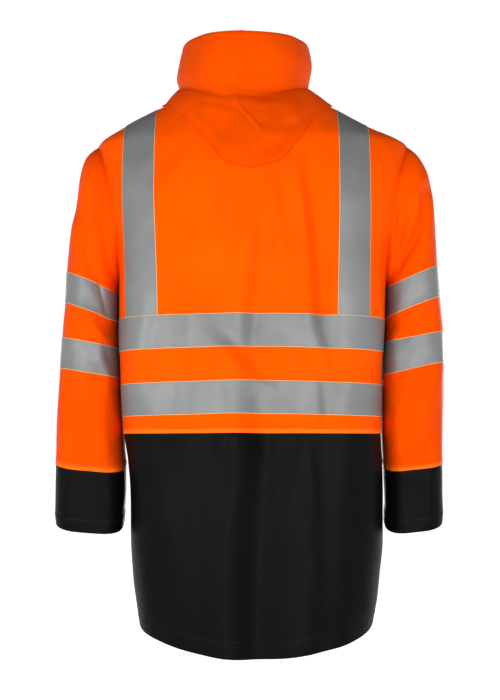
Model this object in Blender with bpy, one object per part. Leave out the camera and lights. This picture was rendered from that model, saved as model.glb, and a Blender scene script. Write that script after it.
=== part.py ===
"""Hi-vis work jacket: a hip-length rain jacket with a turned-down hood, a front zip and reflective bands.

The garment stands hollow, as it hangs on its wearer. Metres, +Z up, the back of the jacket faces +Y and
the wearer's left is +X. The origin is the middle of the wearer's neck, at the height of the collar seam.
The tables below are in millimetres.
"""

import math
from collections import namedtuple

import bpy
import numpy as np

MM = 0.001
CLOTH = 1.4  # coated cloth
TAPE = 0.9  # reflective tape, laid on the cloth
GAP = 0.3  # between two pieces, at a seam
UNDERARM_Z = -285.0
SHOULDER_Z = -66.0
NECK_Z = 22.0
NECK_HALF = 84.0
NECK_BACK_Z = 12.0
NECK_FRONT_Z = -50.0
ARMHOLE_POWER = 2.6  # how late the armhole leans out on its way up
COLLAR_HEIGHT = 66.0
ZIP_HALF = 5.0  # from the centre line to a front's edge
TAIL_POWER = 1.2

# Level sections of the body, from below the hem to the neck: how far it reaches to the wearer's left and
# right, to the back and the front, and how square the section is (2 is an ellipse).
Section = namedtuple("Section", "z left right back front square")
SECTIONS = [
    Section(-870, 163, 183, 151, 142, 2.6),
    Section(-800, 171, 191, 150, 142, 2.7),
    Section(-772, 176, 197, 149, 141, 2.8),
    Section(-734, 181, 201, 148, 141, 2.9),
    Section(-678, 184, 206, 146, 140, 3.0),
    Section(-605, 185, 206, 144, 140, 3.2),
    Section(-556, 189, 205, 143, 140, 3.4),
    Section(-516, 195, 203, 142, 140, 3.6),
    Section(-437, 200, 204, 140, 141, 3.9),
    Section(-337, 203, 209, 139, 142, 4.0),
    Section(-285, 203, 211, 139, 142, 3.9),
    Section(-230, 210, 218, 141, 143, 3.4),
    Section(-175, 226, 235, 139, 138, 3.0),
    Section(-121, 236, 246, 131, 122, 2.7),
    Section(-81, 241, 252, 119, 103, 2.4),
    Section(-66, 239, 248, 114, 95, 2.3),
    Section(-34, 198, 187, 98, 79, 2.1),
    Section(-12, 158, 147, 86, 71, 2.0),
    Section(3, 126, 120, 78, 66, 2.0),
    Section(13, 104, 101, 72, 62, 2.0),
    Section(22, 84, 84, 66, 58, 2.0),
]

# Rows of the panels from the hem to the underarm: how far the back dips below its sides, and how far the
# sides droop below the middle.
Row = namedtuple("Row", "z tail droop")
ROWS = [
    Row(-800, 49, 0),
    Row(-765, 41, 0),
    Row(-725, 30, 0),
    Row(-680, 20, 0),
    Row(-635, 11, 0),
    Row(-590, 4, 0),
    Row(-550, 0, 0),
    Row(-516, 0, 1),
    Row(-487, 0, 5),
    Row(-437, 0, 6),
    Row(-387, 0, 6),
    Row(-337, 0, 5),
    Row(-285, 0, 0),
]
SEAM_ROW = 7
WAIST_TAPE = (8, 9)
CHEST_TAPE = (10, 11)
UNDERARM_ROW = 12
YOKE_ROWS = 12
TOP_ROW = UNDERARM_ROW + YOKE_ROWS

# Columns of a quarter panel: from its edge to the brace, across the brace, and on to the middle.
BRACE_OUTER = 4
BRACE_INNER = 6
NECK_COLUMN = 8
MIDDLE = 12
Brace = namedtuple("Brace", "z outer inner")
BRACE = {
    1: (Brace(-337, 189, 138), Brace(-110, 195, 145)),
    -1: (Brace(-337, 181, 132), Brace(-110, 183, 135)),
}
OUTER_SHARE = 0.93  # where those columns run below the braces, as a share of the half-width
INNER_SHARE = 0.74

# Folds of the back and the front: a line from (x0, z0) to (x1, z1), its half-width, and its depth.
Fold = namedtuple("Fold", "x0 z0 x1 z1 half depth")
BACK_FOLDS = [
    Fold(-13, -170, 0, -340, 20, -5.5),
    Fold(2, -350, 0, -520, 24, -4.0),
    Fold(-8, -530, 6, -690, 28, -7.5),
    Fold(6, -690, 3, -860, 30, -8.0),
    Fold(-84, -105, -104, -345, 22, -7.5),
    Fold(-104, -350, -104, -540, 24, -5.0),
    Fold(-98, -540, -98, -810, 28, -6.5),
    Fold(-110, -150, -138, -330, 18, 4.0),
    Fold(104, -350, 112, -600, 26, -3.0),
    Fold(56, -545, 70, -730, 24, 5.5),
    Fold(-45, -560, -40, -800, 22, 3.5),
    Fold(135, -600, 128, -830, 22, -3.5),
    Fold(-150, -610, -148, -820, 22, -3.0),
]
FRONT_FOLDS = [
    Fold(90, -150, 70, -330, 22, -4.5),
    Fold(-88, -140, -72, -340, 22, -5.0),
    Fold(66, -350, 84, -560, 26, -3.5),
    Fold(-60, -360, -90, -560, 26, -4.0),
    Fold(80, -560, 96, -800, 28, -5.0),
    Fold(-86, -560, -92, -800, 28, -4.5),
    Fold(140, -590, 138, -800, 22, 3.0),
    Fold(-146, -590, -140, -800, 22, 3.0),
]

# Rings of a sleeve: its outer and inner point, seen from behind, its half depth, and how far its back
# dips. The first ring is the armhole.
Ring = namedtuple("Ring", "out_x out_z in_x in_z depth dip")
SLEEVE_RINGS = {
    1: [
        Ring(239, -66, 203, -285, 82, 0),
        Ring(257, -86, 205.2, -287, 83, 0),
        Ring(266, -118, 205.8, -289, 84, 0),
        Ring(272, -165, 206, -292, 84, 0),
        Ring(281, -214, 206, -295, 84, 0),
        Ring(286, -266, 206, -298, 84, 0),
        Ring(288, -314, 206, -344, 83, 0),
        Ring(291, -341, 206, -364, 81, 0),
        Ring(293, -368, 205.5, -384, 79, 0),
        Ring(296, -416, 203.6, -431, 76, 0),
        Ring(299, -455, 201.8, -469, 73, 1),
        Ring(301, -490, 199.8, -504, 70, 3),
        Ring(302, -526, 197, -536, 67, 7),
        Ring(302.5, -558, 195, -568, 64, 11),
        Ring(303, -594, 194.5, -602, 61, 12.5),
        Ring(303, -625, 196, -633, 59, 13.5),
        Ring(301, -650, 198, -659, 57, 14.5),
    ],
    -1: [
        Ring(248, -66, 211, -285, 82, 0),
        Ring(265, -84, 213.4, -286.2, 83, 0),
        Ring(279, -112, 214, -287.4, 84, 0),
        Ring(287, -155, 214, -288.6, 84, 0),
        Ring(290, -205, 213.8, -289.8, 84, 0),
        Ring(292, -256, 213.2, -291, 84, 0),
        Ring(296, -304, 212.6, -337, 83, 0),
        Ring(299, -332, 211.2, -356, 81, 0),
        Ring(301, -358, 209.8, -376, 79, 0),
        Ring(302, -405, 208, -427, 76, 0),
        Ring(302, -448, 207.2, -464, 73, 1),
        Ring(301, -486, 207, -500, 70, 3),
        Ring(300, -522, 208, -534, 66, 7),
        Ring(300, -557, 209.4, -567, 62, 10),
        Ring(300, -592, 210.4, -601, 58, 12.5),
        Ring(300.5, -622, 211, -630, 56, 15),
        Ring(299, -646, 210.4, -656, 54, 17),
    ],
}
SLEEVE_TAPES = ((5, 6), (8, 9))
CUFF_RING = 13
SLEEVE_POINTS = 2 * YOKE_ROWS
SLEEVE_FOLDS = {
    1: [
        Fold(256, -190, 243, -285, 16, 4.0),
        Fold(232, -180, 214, -290, 14, -5.5),
        Fold(252, -330, 222, -372, 16, 3.5),
        Fold(272, -345, 236, -400, 15, -3.5),
        Fold(226, -440, 250, -540, 16, 3.0),
        Fold(268, -450, 262, -560, 16, -3.0),
    ],
    -1: [
        Fold(268, -130, 262, -205, 14, -4.5),
        Fold(260, -200, 226, -262, 14, -5.0),
        Fold(280, -175, 258, -232, 14, 4.0),
        Fold(262, -322, 230, -372, 16, 3.5),
        Fold(284, -420, 260, -500, 16, 4.0),
        Fold(270, -425, 246, -470, 14, -4.0),
    ],
}

# The hood turned down: rings of the part that stands round the collar, then its lower edge on the yoke.
HoodRing = namedtuple("HoodRing", "side back front z_side z_back z_front")
HOOD_RINGS = [
    HoodRing(97, 98, 101, 97, 99, 16),
    HoodRing(101, 101, 103, 88, 86, 7),
    HoodRing(105.5, 103, 105, 64, 60, -4),
    HoodRing(105.5, 103, 106, 44, 34, -12),
    HoodRing(102.5, 103, 105, 28, 3, -22),
]
HOOD_STAND = list(zip(HOOD_RINGS, (1.0, 1.0, 1.1, 1.5, 1.4)))
HOOD_EDGE = [(0, 1), (20, -10), (44, -40), (56, -62), (64, -84), (73, -106), (90, -115)]
HOOD_FRONT_EDGE = [(0, 1), (30, -13), (55, -34), (90, -66)]
HOOD_FRONT = 58  # degrees that the hood reaches round to the front
HOOD_CLEAR = 2.6  # its under layer above the yoke
HOOD_BULGE_BACK = 18.0
HOOD_SHIFT = 7.0  # of the part that stands round the collar, to the wearer's left
HOOD_BULGE_SIDE = 0.5
HOOD_SEAM = [(0, 6), (0.25, 8), (0.42, 12), (0.5, 5), (0.58, -7)]
HOOD_SEAM += [(0.67, -17), (0.72, -18), (0.78, -8), (0.83, 5), (1, 3)]
HOOD_BACK_COLUMNS = 9
HOOD_FRONT_COLUMNS = 5
HOOD_UNDER_ROWS = 4
HOOD_POUCH_ROWS = 7

ORANGE = (1.0, 0.13, 0.0)
BLACK = (0.012, 0.013, 0.015)
GREY = (0.30, 0.31, 0.31)
ZIP_BLACK = (0.02, 0.02, 0.022)

SLIDER_W = 9.0
SLIDER_H = 13.0
SLIDER_T = 3.0
PULL_W = 5.0
PULL_LENGTH = 30.0
PULL_T = 1.6
PIN_R = 0.9
BARREL_R = 2.2
BARREL_HOLE = 1.3


class Curve:
    """A smooth curve through a table's points, which never overshoots them."""

    def __init__(self, xs, ys):
        self.x = np.array(xs, float)
        self.y = np.array(ys, float)
        step = np.diff(self.x)
        slope = np.diff(self.y) / step
        self.m = np.zeros(len(self.x))
        self.m[0] = slope[0]
        self.m[-1] = slope[-1]
        for i in range(1, len(slope)):
            if slope[i - 1] * slope[i] > 0:
                w1 = 2 * step[i] + step[i - 1]
                w2 = step[i] + 2 * step[i - 1]
                self.m[i] = (w1 + w2) / (w1 / slope[i - 1] + w2 / slope[i])

    def __call__(self, x):
        x = min(max(x, self.x[0]), self.x[-1])
        i = min(int(np.searchsorted(self.x, x, side="right")) - 1, len(self.x) - 2)
        h = self.x[i + 1] - self.x[i]
        t = (x - self.x[i]) / h
        a = self.y[i] * (1 + 2 * t) * (1 - t) ** 2
        b = self.y[i + 1] * t * t * (3 - 2 * t)
        return a + b + h * self.m[i] * t * (1 - t) ** 2 - h * self.m[i + 1] * t * t * (1 - t)


def table_curve(rows, key, value):
    return Curve([getattr(row, key) for row in rows], [getattr(row, value) for row in rows])


BODY = {name: table_curve(SECTIONS, "z", name) for name in ("left", "right", "back", "front", "square")}
ROW_Z = Curve(range(len(ROWS)), [row.z for row in ROWS])
ROW_TAIL = Curve(range(len(ROWS)), [row.tail for row in ROWS])
ROW_DROOP = Curve(range(len(ROWS)), [row.droop for row in ROWS])
HOOD_EDGE_Z = {1: Curve(*zip(*HOOD_EDGE)), -1: Curve(*zip(*HOOD_FRONT_EDGE))}
HOOD_SEAM_X = Curve(*zip(*HOOD_SEAM))


# A surface: its points, the directions out of it, and which way each of its cells is cut in two.
Grid = namedtuple("Grid", "points normals slant")


def grid_of(cells, slant):
    points = np.array([[cell[0] for cell in row] for row in cells])
    normals = np.array([[cell[1] for cell in row] for row in cells])
    return Grid(points, normals, slant)


def slants(down, across):
    """The same cut in every cell, seen from the middle of the garment, whichever way the columns run."""
    return np.array([[a == b for b in across] for a in down])


def mix(a, b, t):
    return a + (b - a) * t


def smooth(t):
    t = min(max(t, 0.0), 1.0)
    return t * t * (3 - 2 * t)


# ---------------------------------------------------------------- the body


def section(z, face):
    """Centre, half-width, depth and squareness of the level section at z. face is 1 at the back."""
    left = BODY["left"](z)
    right = BODY["right"](z)
    depth = BODY["back" if face > 0 else "front"](z)
    return (left - right) / 2, (left + right) / 2, depth, BODY["square"](z)


def polar(angle, z, side, face):
    """The body's point in a direction from the middle of its section: 0 is the side, pi / 2 the middle."""
    centre, half, depth, n = section(z, face)
    c = abs(math.cos(angle))
    s = abs(math.sin(angle))
    r = ((c / half) ** n + (s / depth) ** n) ** (-1 / n)
    return np.array([centre + side * r * c, face * r * s, z])


def angle_at(x, z, side, face):
    """The direction in which the section at z reaches x."""
    low, high = 0.0, math.pi / 2
    if side * (polar(low, z, side, face)[0] - x) <= 0:
        return 0.0
    for _ in range(40):
        middle = (low + high) / 2
        if side * (polar(middle, z, side, face)[0] - x) > 0:
            low = middle
        else:
            high = middle
    return low


def outside(point, face):
    centre, half, depth, n = section(point[2], face)
    return (abs(point[0] - centre) / half) ** n + (abs(point[1]) / depth) ** n


def body_normal(point, face):
    grad = np.zeros(3)
    for axis in range(3):
        step = np.zeros(3)
        step[axis] = 0.5
        grad[axis] = outside(point + step, face) - outside(point - step, face)
    return grad / np.linalg.norm(grad)


def fold_height(x, z, folds):
    """How far the folds move the cloth in or out at a point seen from behind."""
    height = 0.0
    for fold in folds:
        along = np.array([fold.x1 - fold.x0, fold.z1 - fold.z0])
        length = np.linalg.norm(along)
        along = along / length
        to = np.array([x - fold.x0, z - fold.z0])
        t = float(to @ along)
        off = float(to[0] * along[1] - to[1] * along[0])
        past = max(-t, t - length, 0.0)
        height += fold.depth * math.exp(-((off / fold.half) ** 2) - (past / (1.4 * fold.half)) ** 2)
    return height


def shoulder_z(x, side):
    """Height of the shoulder line over x."""
    low, high = SHOULDER_Z, NECK_Z
    name = "left" if side > 0 else "right"
    for _ in range(40):
        middle = (low + high) / 2
        if BODY[name](middle) > abs(x):
            low = middle
        else:
            high = middle
    return low


def neck_z(x, face):
    rise = (abs(x) / NECK_HALF) ** 2
    return mix(NECK_BACK_Z if face > 0 else NECK_FRONT_Z, NECK_Z, min(rise, 1.0))


def armhole(side, face, a):
    """The armhole from the underarm (a = 0) to the shoulder (a = 1)."""
    f = (1 - math.cos(math.pi * a)) / 2
    z = mix(UNDERARM_Z, SHOULDER_Z, f)
    name = "left" if side > 0 else "right"
    low = BODY[name](UNDERARM_Z)
    high = BODY[name](SHOULDER_Z)
    x = side * mix(low, high, f**ARMHOLE_POWER)
    centre, half, depth, n = section(z, face)
    y = depth * max(1 - (abs(x - centre) / half) ** n, 0.0) ** (1 / n)
    y = 0.0 if a <= 0 or a >= 1 else y
    return np.array([x, face * y, z])


def column_x(u, a, side, z, face):
    """X of a column between the brace and the middle. a runs from 0 at the underarm to 1 at the top."""
    low, high = BRACE[side]
    lean = smooth((z - low.z) / (high.z - low.z))
    outer = mix(low.outer, high.outer, lean)
    inner = mix(low.inner, high.inner, lean)
    if z < ROWS[CHEST_TAPE[1]].z:
        centre, half, _, _ = section(z, face)
        outer = min(outer, side * centre + OUTER_SHARE * half)
        inner = min(inner, side * centre + INNER_SHARE * half)
    if u <= BRACE_INNER:
        return side * mix(outer, inner, (u - BRACE_OUTER) / (BRACE_INNER - BRACE_OUTER))
    middle = section(z, face)[0] + (side * ZIP_HALF if face < 0 else 0.0)
    level = mix(side * inner, middle, (u - BRACE_INNER) / (MIDDLE - BRACE_INNER))
    if u <= NECK_COLUMN:
        top = side * mix(inner, NECK_HALF, (u - BRACE_INNER) / (NECK_COLUMN - BRACE_INNER))
    else:
        turn = (u - NECK_COLUMN) / (MIDDLE - NECK_COLUMN) * math.pi / 2
        top = middle + (side * NECK_HALF - middle) * math.cos(turn)
    return mix(level, top, smooth(a))


def body_place(side, face, u, v):
    """Direction and height of the panel point in column u and row v."""
    if v <= UNDERARM_ROW:
        z = ROW_Z(v)
        tail = ROW_TAIL(v) if face > 0 else 0.0
        brace = angle_at(column_x(max(u, BRACE_OUTER), 0, side, z, face), z, side, face)
        angle = brace * u / BRACE_OUTER if u < BRACE_OUTER else brace
        low = z - tail * math.sin(angle) ** TAIL_POWER - ROW_DROOP(v) * math.cos(angle) ** 2
        if u >= BRACE_OUTER:
            angle = angle_at(column_x(u, 0, side, low, face), low, side, face)
        return angle, low
    a = (v - UNDERARM_ROW) / YOKE_ROWS
    rise = 1 - (1 - a) ** 1.6
    column = max(u, BRACE_OUTER)
    top_x = column_x(column, 1, side, 0, face)
    top = shoulder_z(top_x, side) if column <= NECK_COLUMN else neck_z(top_x, face)
    z = mix(UNDERARM_Z, top, rise)
    x = column_x(column, a, side, z, face)
    angle = angle_at(x, z, side, face)
    if a >= 1 and column <= NECK_COLUMN:
        angle = 0.0
    if u >= BRACE_OUTER:
        return angle, z
    edge = armhole(side, face, a)
    centre = section(edge[2], face)[0]
    edge_angle = math.atan2(abs(edge[1]), abs(edge[0] - centre))
    t = u / BRACE_OUTER
    return mix(edge_angle, angle, t), mix(edge[2], z, t)


def body_point(side, face, u, v):
    """Outer point of a panel and the direction in which its wall stands."""
    angle, z = body_place(side, face, u, v)
    base = polar(angle, z, side, face)
    normal = body_normal(base, face)
    folds = BACK_FOLDS if face > 0 else FRONT_FOLDS
    fade = smooth(abs(base[1]) / 70)
    return base + normal * fade * fold_height(base[0], base[2], folds), normal


def body_grid(columns, rows, face):
    """columns is a list of (side, u)."""
    cells = [[body_point(side, face, u, v) for side, u in columns] for v in rows]
    across = [b[1] > a[1] for a, b in zip(columns, columns[1:])]
    return grid_of(cells, slants([True] * (len(rows) - 1), across))


# ---------------------------------------------------------------- the sleeves


def sleeve_curves(side):
    rings = SLEEVE_RINGS[side]
    names = ("out_x", "out_z", "in_x", "in_z", "depth", "dip")
    return {name: Curve(range(len(rings)), [getattr(ring, name) for ring in rings]) for name in names}


SLEEVE = {1: sleeve_curves(1), -1: sleeve_curves(-1)}


def sleeve_base(side, turn, s):
    """The sleeve's point on ring s. turn is 0 at its outer side and pi / 2 at its back."""
    ring = {name: curve(s) for name, curve in SLEEVE[side].items()}
    c = math.cos(turn)
    d = math.sin(turn)
    x = mix(ring["in_x"], ring["out_x"], (1 + c) / 2)
    z = mix(ring["in_z"], ring["out_z"], (1 + c) / 2) - ring["dip"] * d
    point = np.array([side * x, ring["depth"] * d, z])
    if s >= 1:
        return point
    face = 1 if d >= 0 else -1
    a = 1 - abs(wrap(turn)) / math.pi
    edge = armhole(side, face, a)
    edge[0] += side * GAP * (2.6 - 1.6 * a)
    return mix(edge, point, s)


def wrap(turn):
    return (turn + math.pi) % (2 * math.pi) - math.pi


def sleeve_normal(side, turn, s):
    e = 0.02
    last = len(SLEEVE_RINGS[side]) - 1
    around = sleeve_base(side, turn + e, s) - sleeve_base(side, turn - e, s)
    along = sleeve_base(side, turn, min(s + e, last)) - sleeve_base(side, turn, max(s - e, 0))
    normal = np.cross(along, around) * side
    normal = normal / np.linalg.norm(normal)
    if s > 0:
        return normal
    face = 1 if math.sin(turn) >= 0 else -1
    panel = body_normal(sleeve_base(side, turn, 0), face)
    share = smooth((float(normal @ panel) + 0.1) / 0.5)
    both = mix(normal, panel, share)
    return both / np.linalg.norm(both)


def sleeve_point(side, turn, s):
    base = sleeve_base(side, turn, s)
    normal = sleeve_normal(side, turn, s)
    fade = smooth(abs(math.sin(turn)) / 0.8) * smooth(s / 2)
    height = fold_height(abs(base[0]), base[2], SLEEVE_FOLDS[side])
    return base + normal * fade * height, normal


def sleeve_grid(side, rings):
    turns = [2 * math.pi * i / SLEEVE_POINTS for i in range(SLEEVE_POINTS)]
    cells = [[sleeve_point(side, turn, s) for turn in turns] for s in rings]
    return grid_of(cells, slants([True] * (len(rings) - 1), [turn < math.pi for turn in turns]))


# ---------------------------------------------------------------- collar, hood and zip


def collar_point(side, face, u, w):
    """The collar over neck column u, from its seam (w = 0) to its top edge (w = 1)."""
    angle, z = body_place(side, face, u, TOP_ROW)
    base = polar(angle, z, side, face)
    lean = 1 + 0.02 * w
    point = np.array([base[0] * lean, base[1] * lean, base[2] + COLLAR_HEIGHT * w])
    depth = 73.0 if face > 0 else 84.0
    normal = np.array([base[0] / NECK_HALF**2, base[1] / depth**2, 0.0])
    return point, normal / np.linalg.norm(normal)


def hood_ring_point(ring, angle, side, face, shift):
    depth = ring.back if face > 0 else ring.front
    z_far = ring.z_back if face > 0 else ring.z_front
    x = side * ring.side * math.cos(angle)
    y = face * depth * math.sin(angle)
    return np.array([x + shift, y, mix(ring.z_side, z_far, math.sin(angle) ** 2)])


def yoke_lift(angle, z, side, face, lift):
    base = polar(angle, z, side, face)
    return base + body_normal(base, face) * lift


def neck_height(angle, side, face):
    """Height at which the neck seam crosses a direction."""
    low, high = (NECK_BACK_Z if face > 0 else NECK_FRONT_Z), NECK_Z
    for _ in range(30):
        z = (low + high) / 2
        if neck_z(polar(angle, z, side, face)[0], face) > z:
            low = z
        else:
            high = z
    return low


def hood_profile(angle, side, face):
    """One column of the hood: from its face edge down, round its lower edge and up to the neck seam."""
    edge_z = HOOD_EDGE_Z[face](math.degrees(angle))
    end = smooth((math.degrees(angle) - 15) / (HOOD_FRONT - 15)) if face < 0 else 0.0
    shift = HOOD_SHIFT if face > 0 else HOOD_SHIFT * math.cos(angle) ** 2
    column = [hood_ring_point(ring, angle, side, face, shift * up) for ring, up in HOOD_STAND]
    nip = column[-1]
    back = math.sin(angle) ** 2.5 if face > 0 else 0.0
    turn = mix(0.5, 1.0, back)
    lip = yoke_lift(angle, edge_z + 5 * turn, side, face, HOOD_CLEAR + 4.2 + 3.4 * back)
    bulge = mix(HOOD_BULGE_SIDE, HOOD_BULGE_BACK, back)
    out = np.array([side * math.cos(angle), face * math.sin(angle), 0.0])
    for i in range(1, HOOD_POUCH_ROWS):
        t = i / HOOD_POUCH_ROWS
        crown = math.sin(math.pi * t**1.15) ** 0.8
        column.append(mix(nip, lip, t) + out * bulge * crown)
    column.append(lip)
    column.append(yoke_lift(angle, edge_z - turn, side, face, HOOD_CLEAR + 3.3 + 2 * back))
    column.append(yoke_lift(angle, edge_z - 2.2 * turn, side, face, HOOD_CLEAR + 1.6 + back))
    top = neck_height(angle, side, face)
    for i in range(HOOD_UNDER_ROWS):
        t = i / (HOOD_UNDER_ROWS - 0.4)
        z = mix(edge_z + 1.5 * turn, top - 1.5, t)
        column.append(yoke_lift(angle, z, side, face, HOOD_CLEAR + 0.4 * back))
    seam = polar(angle, top, side, face)
    depth = 73.0 if face > 0 else 84.0
    normal = np.array([seam[0] / NECK_HALF**2, seam[1] / depth**2, 0.0])
    column.append(seam + normal / np.linalg.norm(normal) * 4 * GAP + np.array([0, 0, 5.5]))
    return column


def hood_columns():
    """Directions round the neck, from the left front round the back to the right front."""
    front = [HOOD_FRONT * (1 - i / HOOD_FRONT_COLUMNS) for i in range(HOOD_FRONT_COLUMNS)]
    back = [90 * i / HOOD_BACK_COLUMNS for i in range(HOOD_BACK_COLUMNS)]
    left = [(1, -1, deg) for deg in front] + [(1, 1, deg) for deg in back]
    right = [(-1, 1, deg) for deg in reversed(back)] + [(-1, -1, deg) for deg in reversed(front)]
    return left + [(1, 1, 90.0)] + right


def hood_grid():
    columns = [hood_profile(math.radians(deg), side, face) for side, face, deg in hood_columns()]
    points = np.array(columns).transpose(1, 0, 2)
    rows = len(points)
    middle = points.shape[1] // 2
    for i in range(rows):
        shift = HOOD_SEAM_X(min(i / (len(HOOD_RINGS) + HOOD_POUCH_ROWS), 1.0))
        for j in range(points.shape[1]):
            near = max(1 - abs(j - middle) / 5, 0.0)
            points[i, j, 0] += shift * smooth(near)
    return points


def grid_normals(points):
    """Directions out of a surface, from its own points."""
    down = np.gradient(points, axis=0)
    across = np.gradient(points, axis=1)
    normals = np.cross(across, down)
    return normals / np.linalg.norm(normals, axis=2, keepdims=True)


def zip_base(side, off, v):
    """A point of the front by the zip, off millimetres from the centre line, and its outward direction."""
    if v <= TOP_ROW:
        edge, normal = body_point(side, -1, MIDDLE, v)
        beside, _ = body_point(side, -1, MIDDLE - 1, v)
    else:
        edge, normal = collar_point(side, -1, MIDDLE, v - TOP_ROW)
        beside, _ = collar_point(side, -1, MIDDLE - 1, v - TOP_ROW)
    normal = np.array([0.0, normal[1], normal[2]])
    along = (off - ZIP_HALF) / abs(beside[0] - edge[0])
    return mix(edge, beside, along), normal / np.linalg.norm(normal)


# ---------------------------------------------------------------- making the objects


def drop_scene():
    for obj in list(bpy.data.objects):
        bpy.data.objects.remove(obj, do_unlink=True)
    for mesh in list(bpy.data.meshes):
        bpy.data.meshes.remove(mesh)


def material(name, colour, roughness, metallic=0.0):
    made = bpy.data.materials.get(name) or bpy.data.materials.new(name)
    made.use_nodes = True
    shader = made.node_tree.nodes["Principled BSDF"]
    shader.inputs["Base Color"].default_value = (*colour, 1.0)
    shader.inputs["Roughness"].default_value = roughness
    shader.inputs["Metallic"].default_value = metallic
    made.diffuse_color = (*colour, 1.0)
    return made


def add(name, mesh, look, collection):
    obj = bpy.data.objects.new(name, mesh)
    mesh.materials.append(look)
    collection.objects.link(obj)
    return obj


def inset(points, sides):
    """Draws a border back by half a seam's gap, along the surface."""
    points = points.copy()
    moves = {
        "bottom": (np.s_[0, :], np.s_[1, :]),
        "top": (np.s_[-1, :], np.s_[-2, :]),
        "start": (np.s_[:, 0], np.s_[:, 1]),
        "end": (np.s_[:, -1], np.s_[:, -2]),
    }
    for side in sides:
        border, inner = moves[side]
        way = points[inner] - points[border]
        length = np.linalg.norm(way, axis=-1, keepdims=True)
        points[border] = points[border] + way / length * (GAP / 2 + 0.02)
    return points


def wall_mesh(name, low, high, slant, closed):
    """A closed wall between an inner and an outer grid of points. closed joins the last column to the first."""
    rows, columns = low.shape[:2]
    count = rows * columns
    spans = columns if closed else columns - 1
    faces = []

    def at(i, j, layer):
        return layer * count + i * columns + j % columns

    for i in range(rows - 1):
        for j in range(spans):
            ring = [(i, j), (i, j + 1), (i + 1, j + 1), (i + 1, j)]
            if not slant[i][j]:
                ring = ring[1:] + ring[:1]
            a, b, c, d = ring
            faces.append([at(*a, 1), at(*b, 1), at(*c, 1)])
            faces.append([at(*a, 1), at(*c, 1), at(*d, 1)])
            faces.append([at(*c, 0), at(*b, 0), at(*a, 0)])
            faces.append([at(*d, 0), at(*c, 0), at(*a, 0)])
    for j in range(spans):
        last = rows - 1
        faces.append([at(0, j, 0), at(0, j + 1, 0), at(0, j + 1, 1), at(0, j, 1)])
        faces.append([at(last, j, 1), at(last, j + 1, 1), at(last, j + 1, 0), at(last, j, 0)])
    if not closed:
        last = columns - 1
        for i in range(rows - 1):
            faces.append([at(i, 0, 0), at(i, 0, 1), at(i + 1, 0, 1), at(i + 1, 0, 0)])
            faces.append([at(i, last, 1), at(i, last, 0), at(i + 1, last, 0), at(i + 1, last, 1)])
    points = np.concatenate([low.reshape(-1, 3), high.reshape(-1, 3)]) * MM
    mesh = bpy.data.meshes.new(name)
    mesh.from_pydata(points.tolist(), [], faces)
    mesh.shade_smooth()
    mesh.set_sharp_from_angle(angle=math.radians(50))
    return mesh


def volume(mesh):
    mesh.calc_loop_triangles()
    total = 0.0
    for tri in mesh.loop_triangles:
        a, b, c = (mesh.vertices[i].co for i in tri.vertices)
        total += a.dot(b.cross(c))
    return total


def wall(name, grid, span, look, collection, closed=False):
    """A wall from span[0] to span[1] millimetres above a surface."""
    low = grid.points + grid.normals * span[0]
    high = grid.points + grid.normals * span[1]
    mesh = wall_mesh(name, low, high, grid.slant, closed)
    if volume(mesh) < 0:
        mesh.flip_normals()
    return add(name, mesh, look, collection)


def lay(grid, sides):
    return grid._replace(points=inset(grid.points, sides))


CLOTH_SPAN = (-CLOTH, 0.0)
TAPE_SPAN = (GAP, GAP + TAPE)
BACK_COLUMNS = [(1, u) for u in range(MIDDLE + 1)] + [(-1, u) for u in range(MIDDLE - 1, -1, -1)]


def front_columns(side):
    return [(side, u) for u in range(MIDDLE + 1)]


def make_panels(orange, black, collection):
    upper = list(range(SEAM_ROW, TOP_ROW + 1))
    lower = list(range(SEAM_ROW + 1))
    grid = body_grid(BACK_COLUMNS, upper, 1)
    wall("back_upper", lay(grid, ("bottom", "top", "start", "end")), CLOTH_SPAN, orange, collection)
    grid = body_grid(BACK_COLUMNS, lower, 1)
    wall("back_lower", lay(grid, ("top", "start", "end")), CLOTH_SPAN, black, collection)
    for side, word in ((1, "left"), (-1, "right")):
        grid = body_grid(front_columns(side), upper, -1)
        wall(f"front_{word}_upper", lay(grid, ("bottom", "top", "start")), CLOTH_SPAN, orange, collection)
        grid = body_grid(front_columns(side), lower, -1)
        wall(f"front_{word}_lower", lay(grid, ("top", "start")), CLOTH_SPAN, black, collection)


def make_body_tapes(grey, collection):
    for word, rows in (("chest", CHEST_TAPE), ("waist", WAIST_TAPE)):
        grid = body_grid(BACK_COLUMNS, rows, 1)
        wall(f"tape_{word}_back", lay(grid, ("start", "end")), TAPE_SPAN, grey, collection)
        for side, name in ((1, "left"), (-1, "right")):
            grid = body_grid(front_columns(side), rows, -1)
            wall(f"tape_{word}_front_{name}", lay(grid, ("start",)), TAPE_SPAN, grey, collection)


def make_braces(grey, collection):
    columns = range(BRACE_OUTER, BRACE_INNER + 1)
    for side, word in ((1, "left"), (-1, "right")):
        rows = range(CHEST_TAPE[1], TOP_ROW + 1)
        back = body_grid([(side, u) for u in columns], rows, 1)
        front = body_grid([(side, u) for u in columns], rows, -1)
        points = np.concatenate([back.points, front.points[-2::-1]])
        normals = np.concatenate([back.normals, front.normals[-2::-1]])
        down = [True] * (len(rows) - 1) + [False] * (len(rows) - 1)
        grid = Grid(points, normals, slants(down, [True] * (len(columns) - 1)))
        wall(f"brace_{word}", lay(grid, ("bottom", "top")), TAPE_SPAN, grey, collection)


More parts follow.
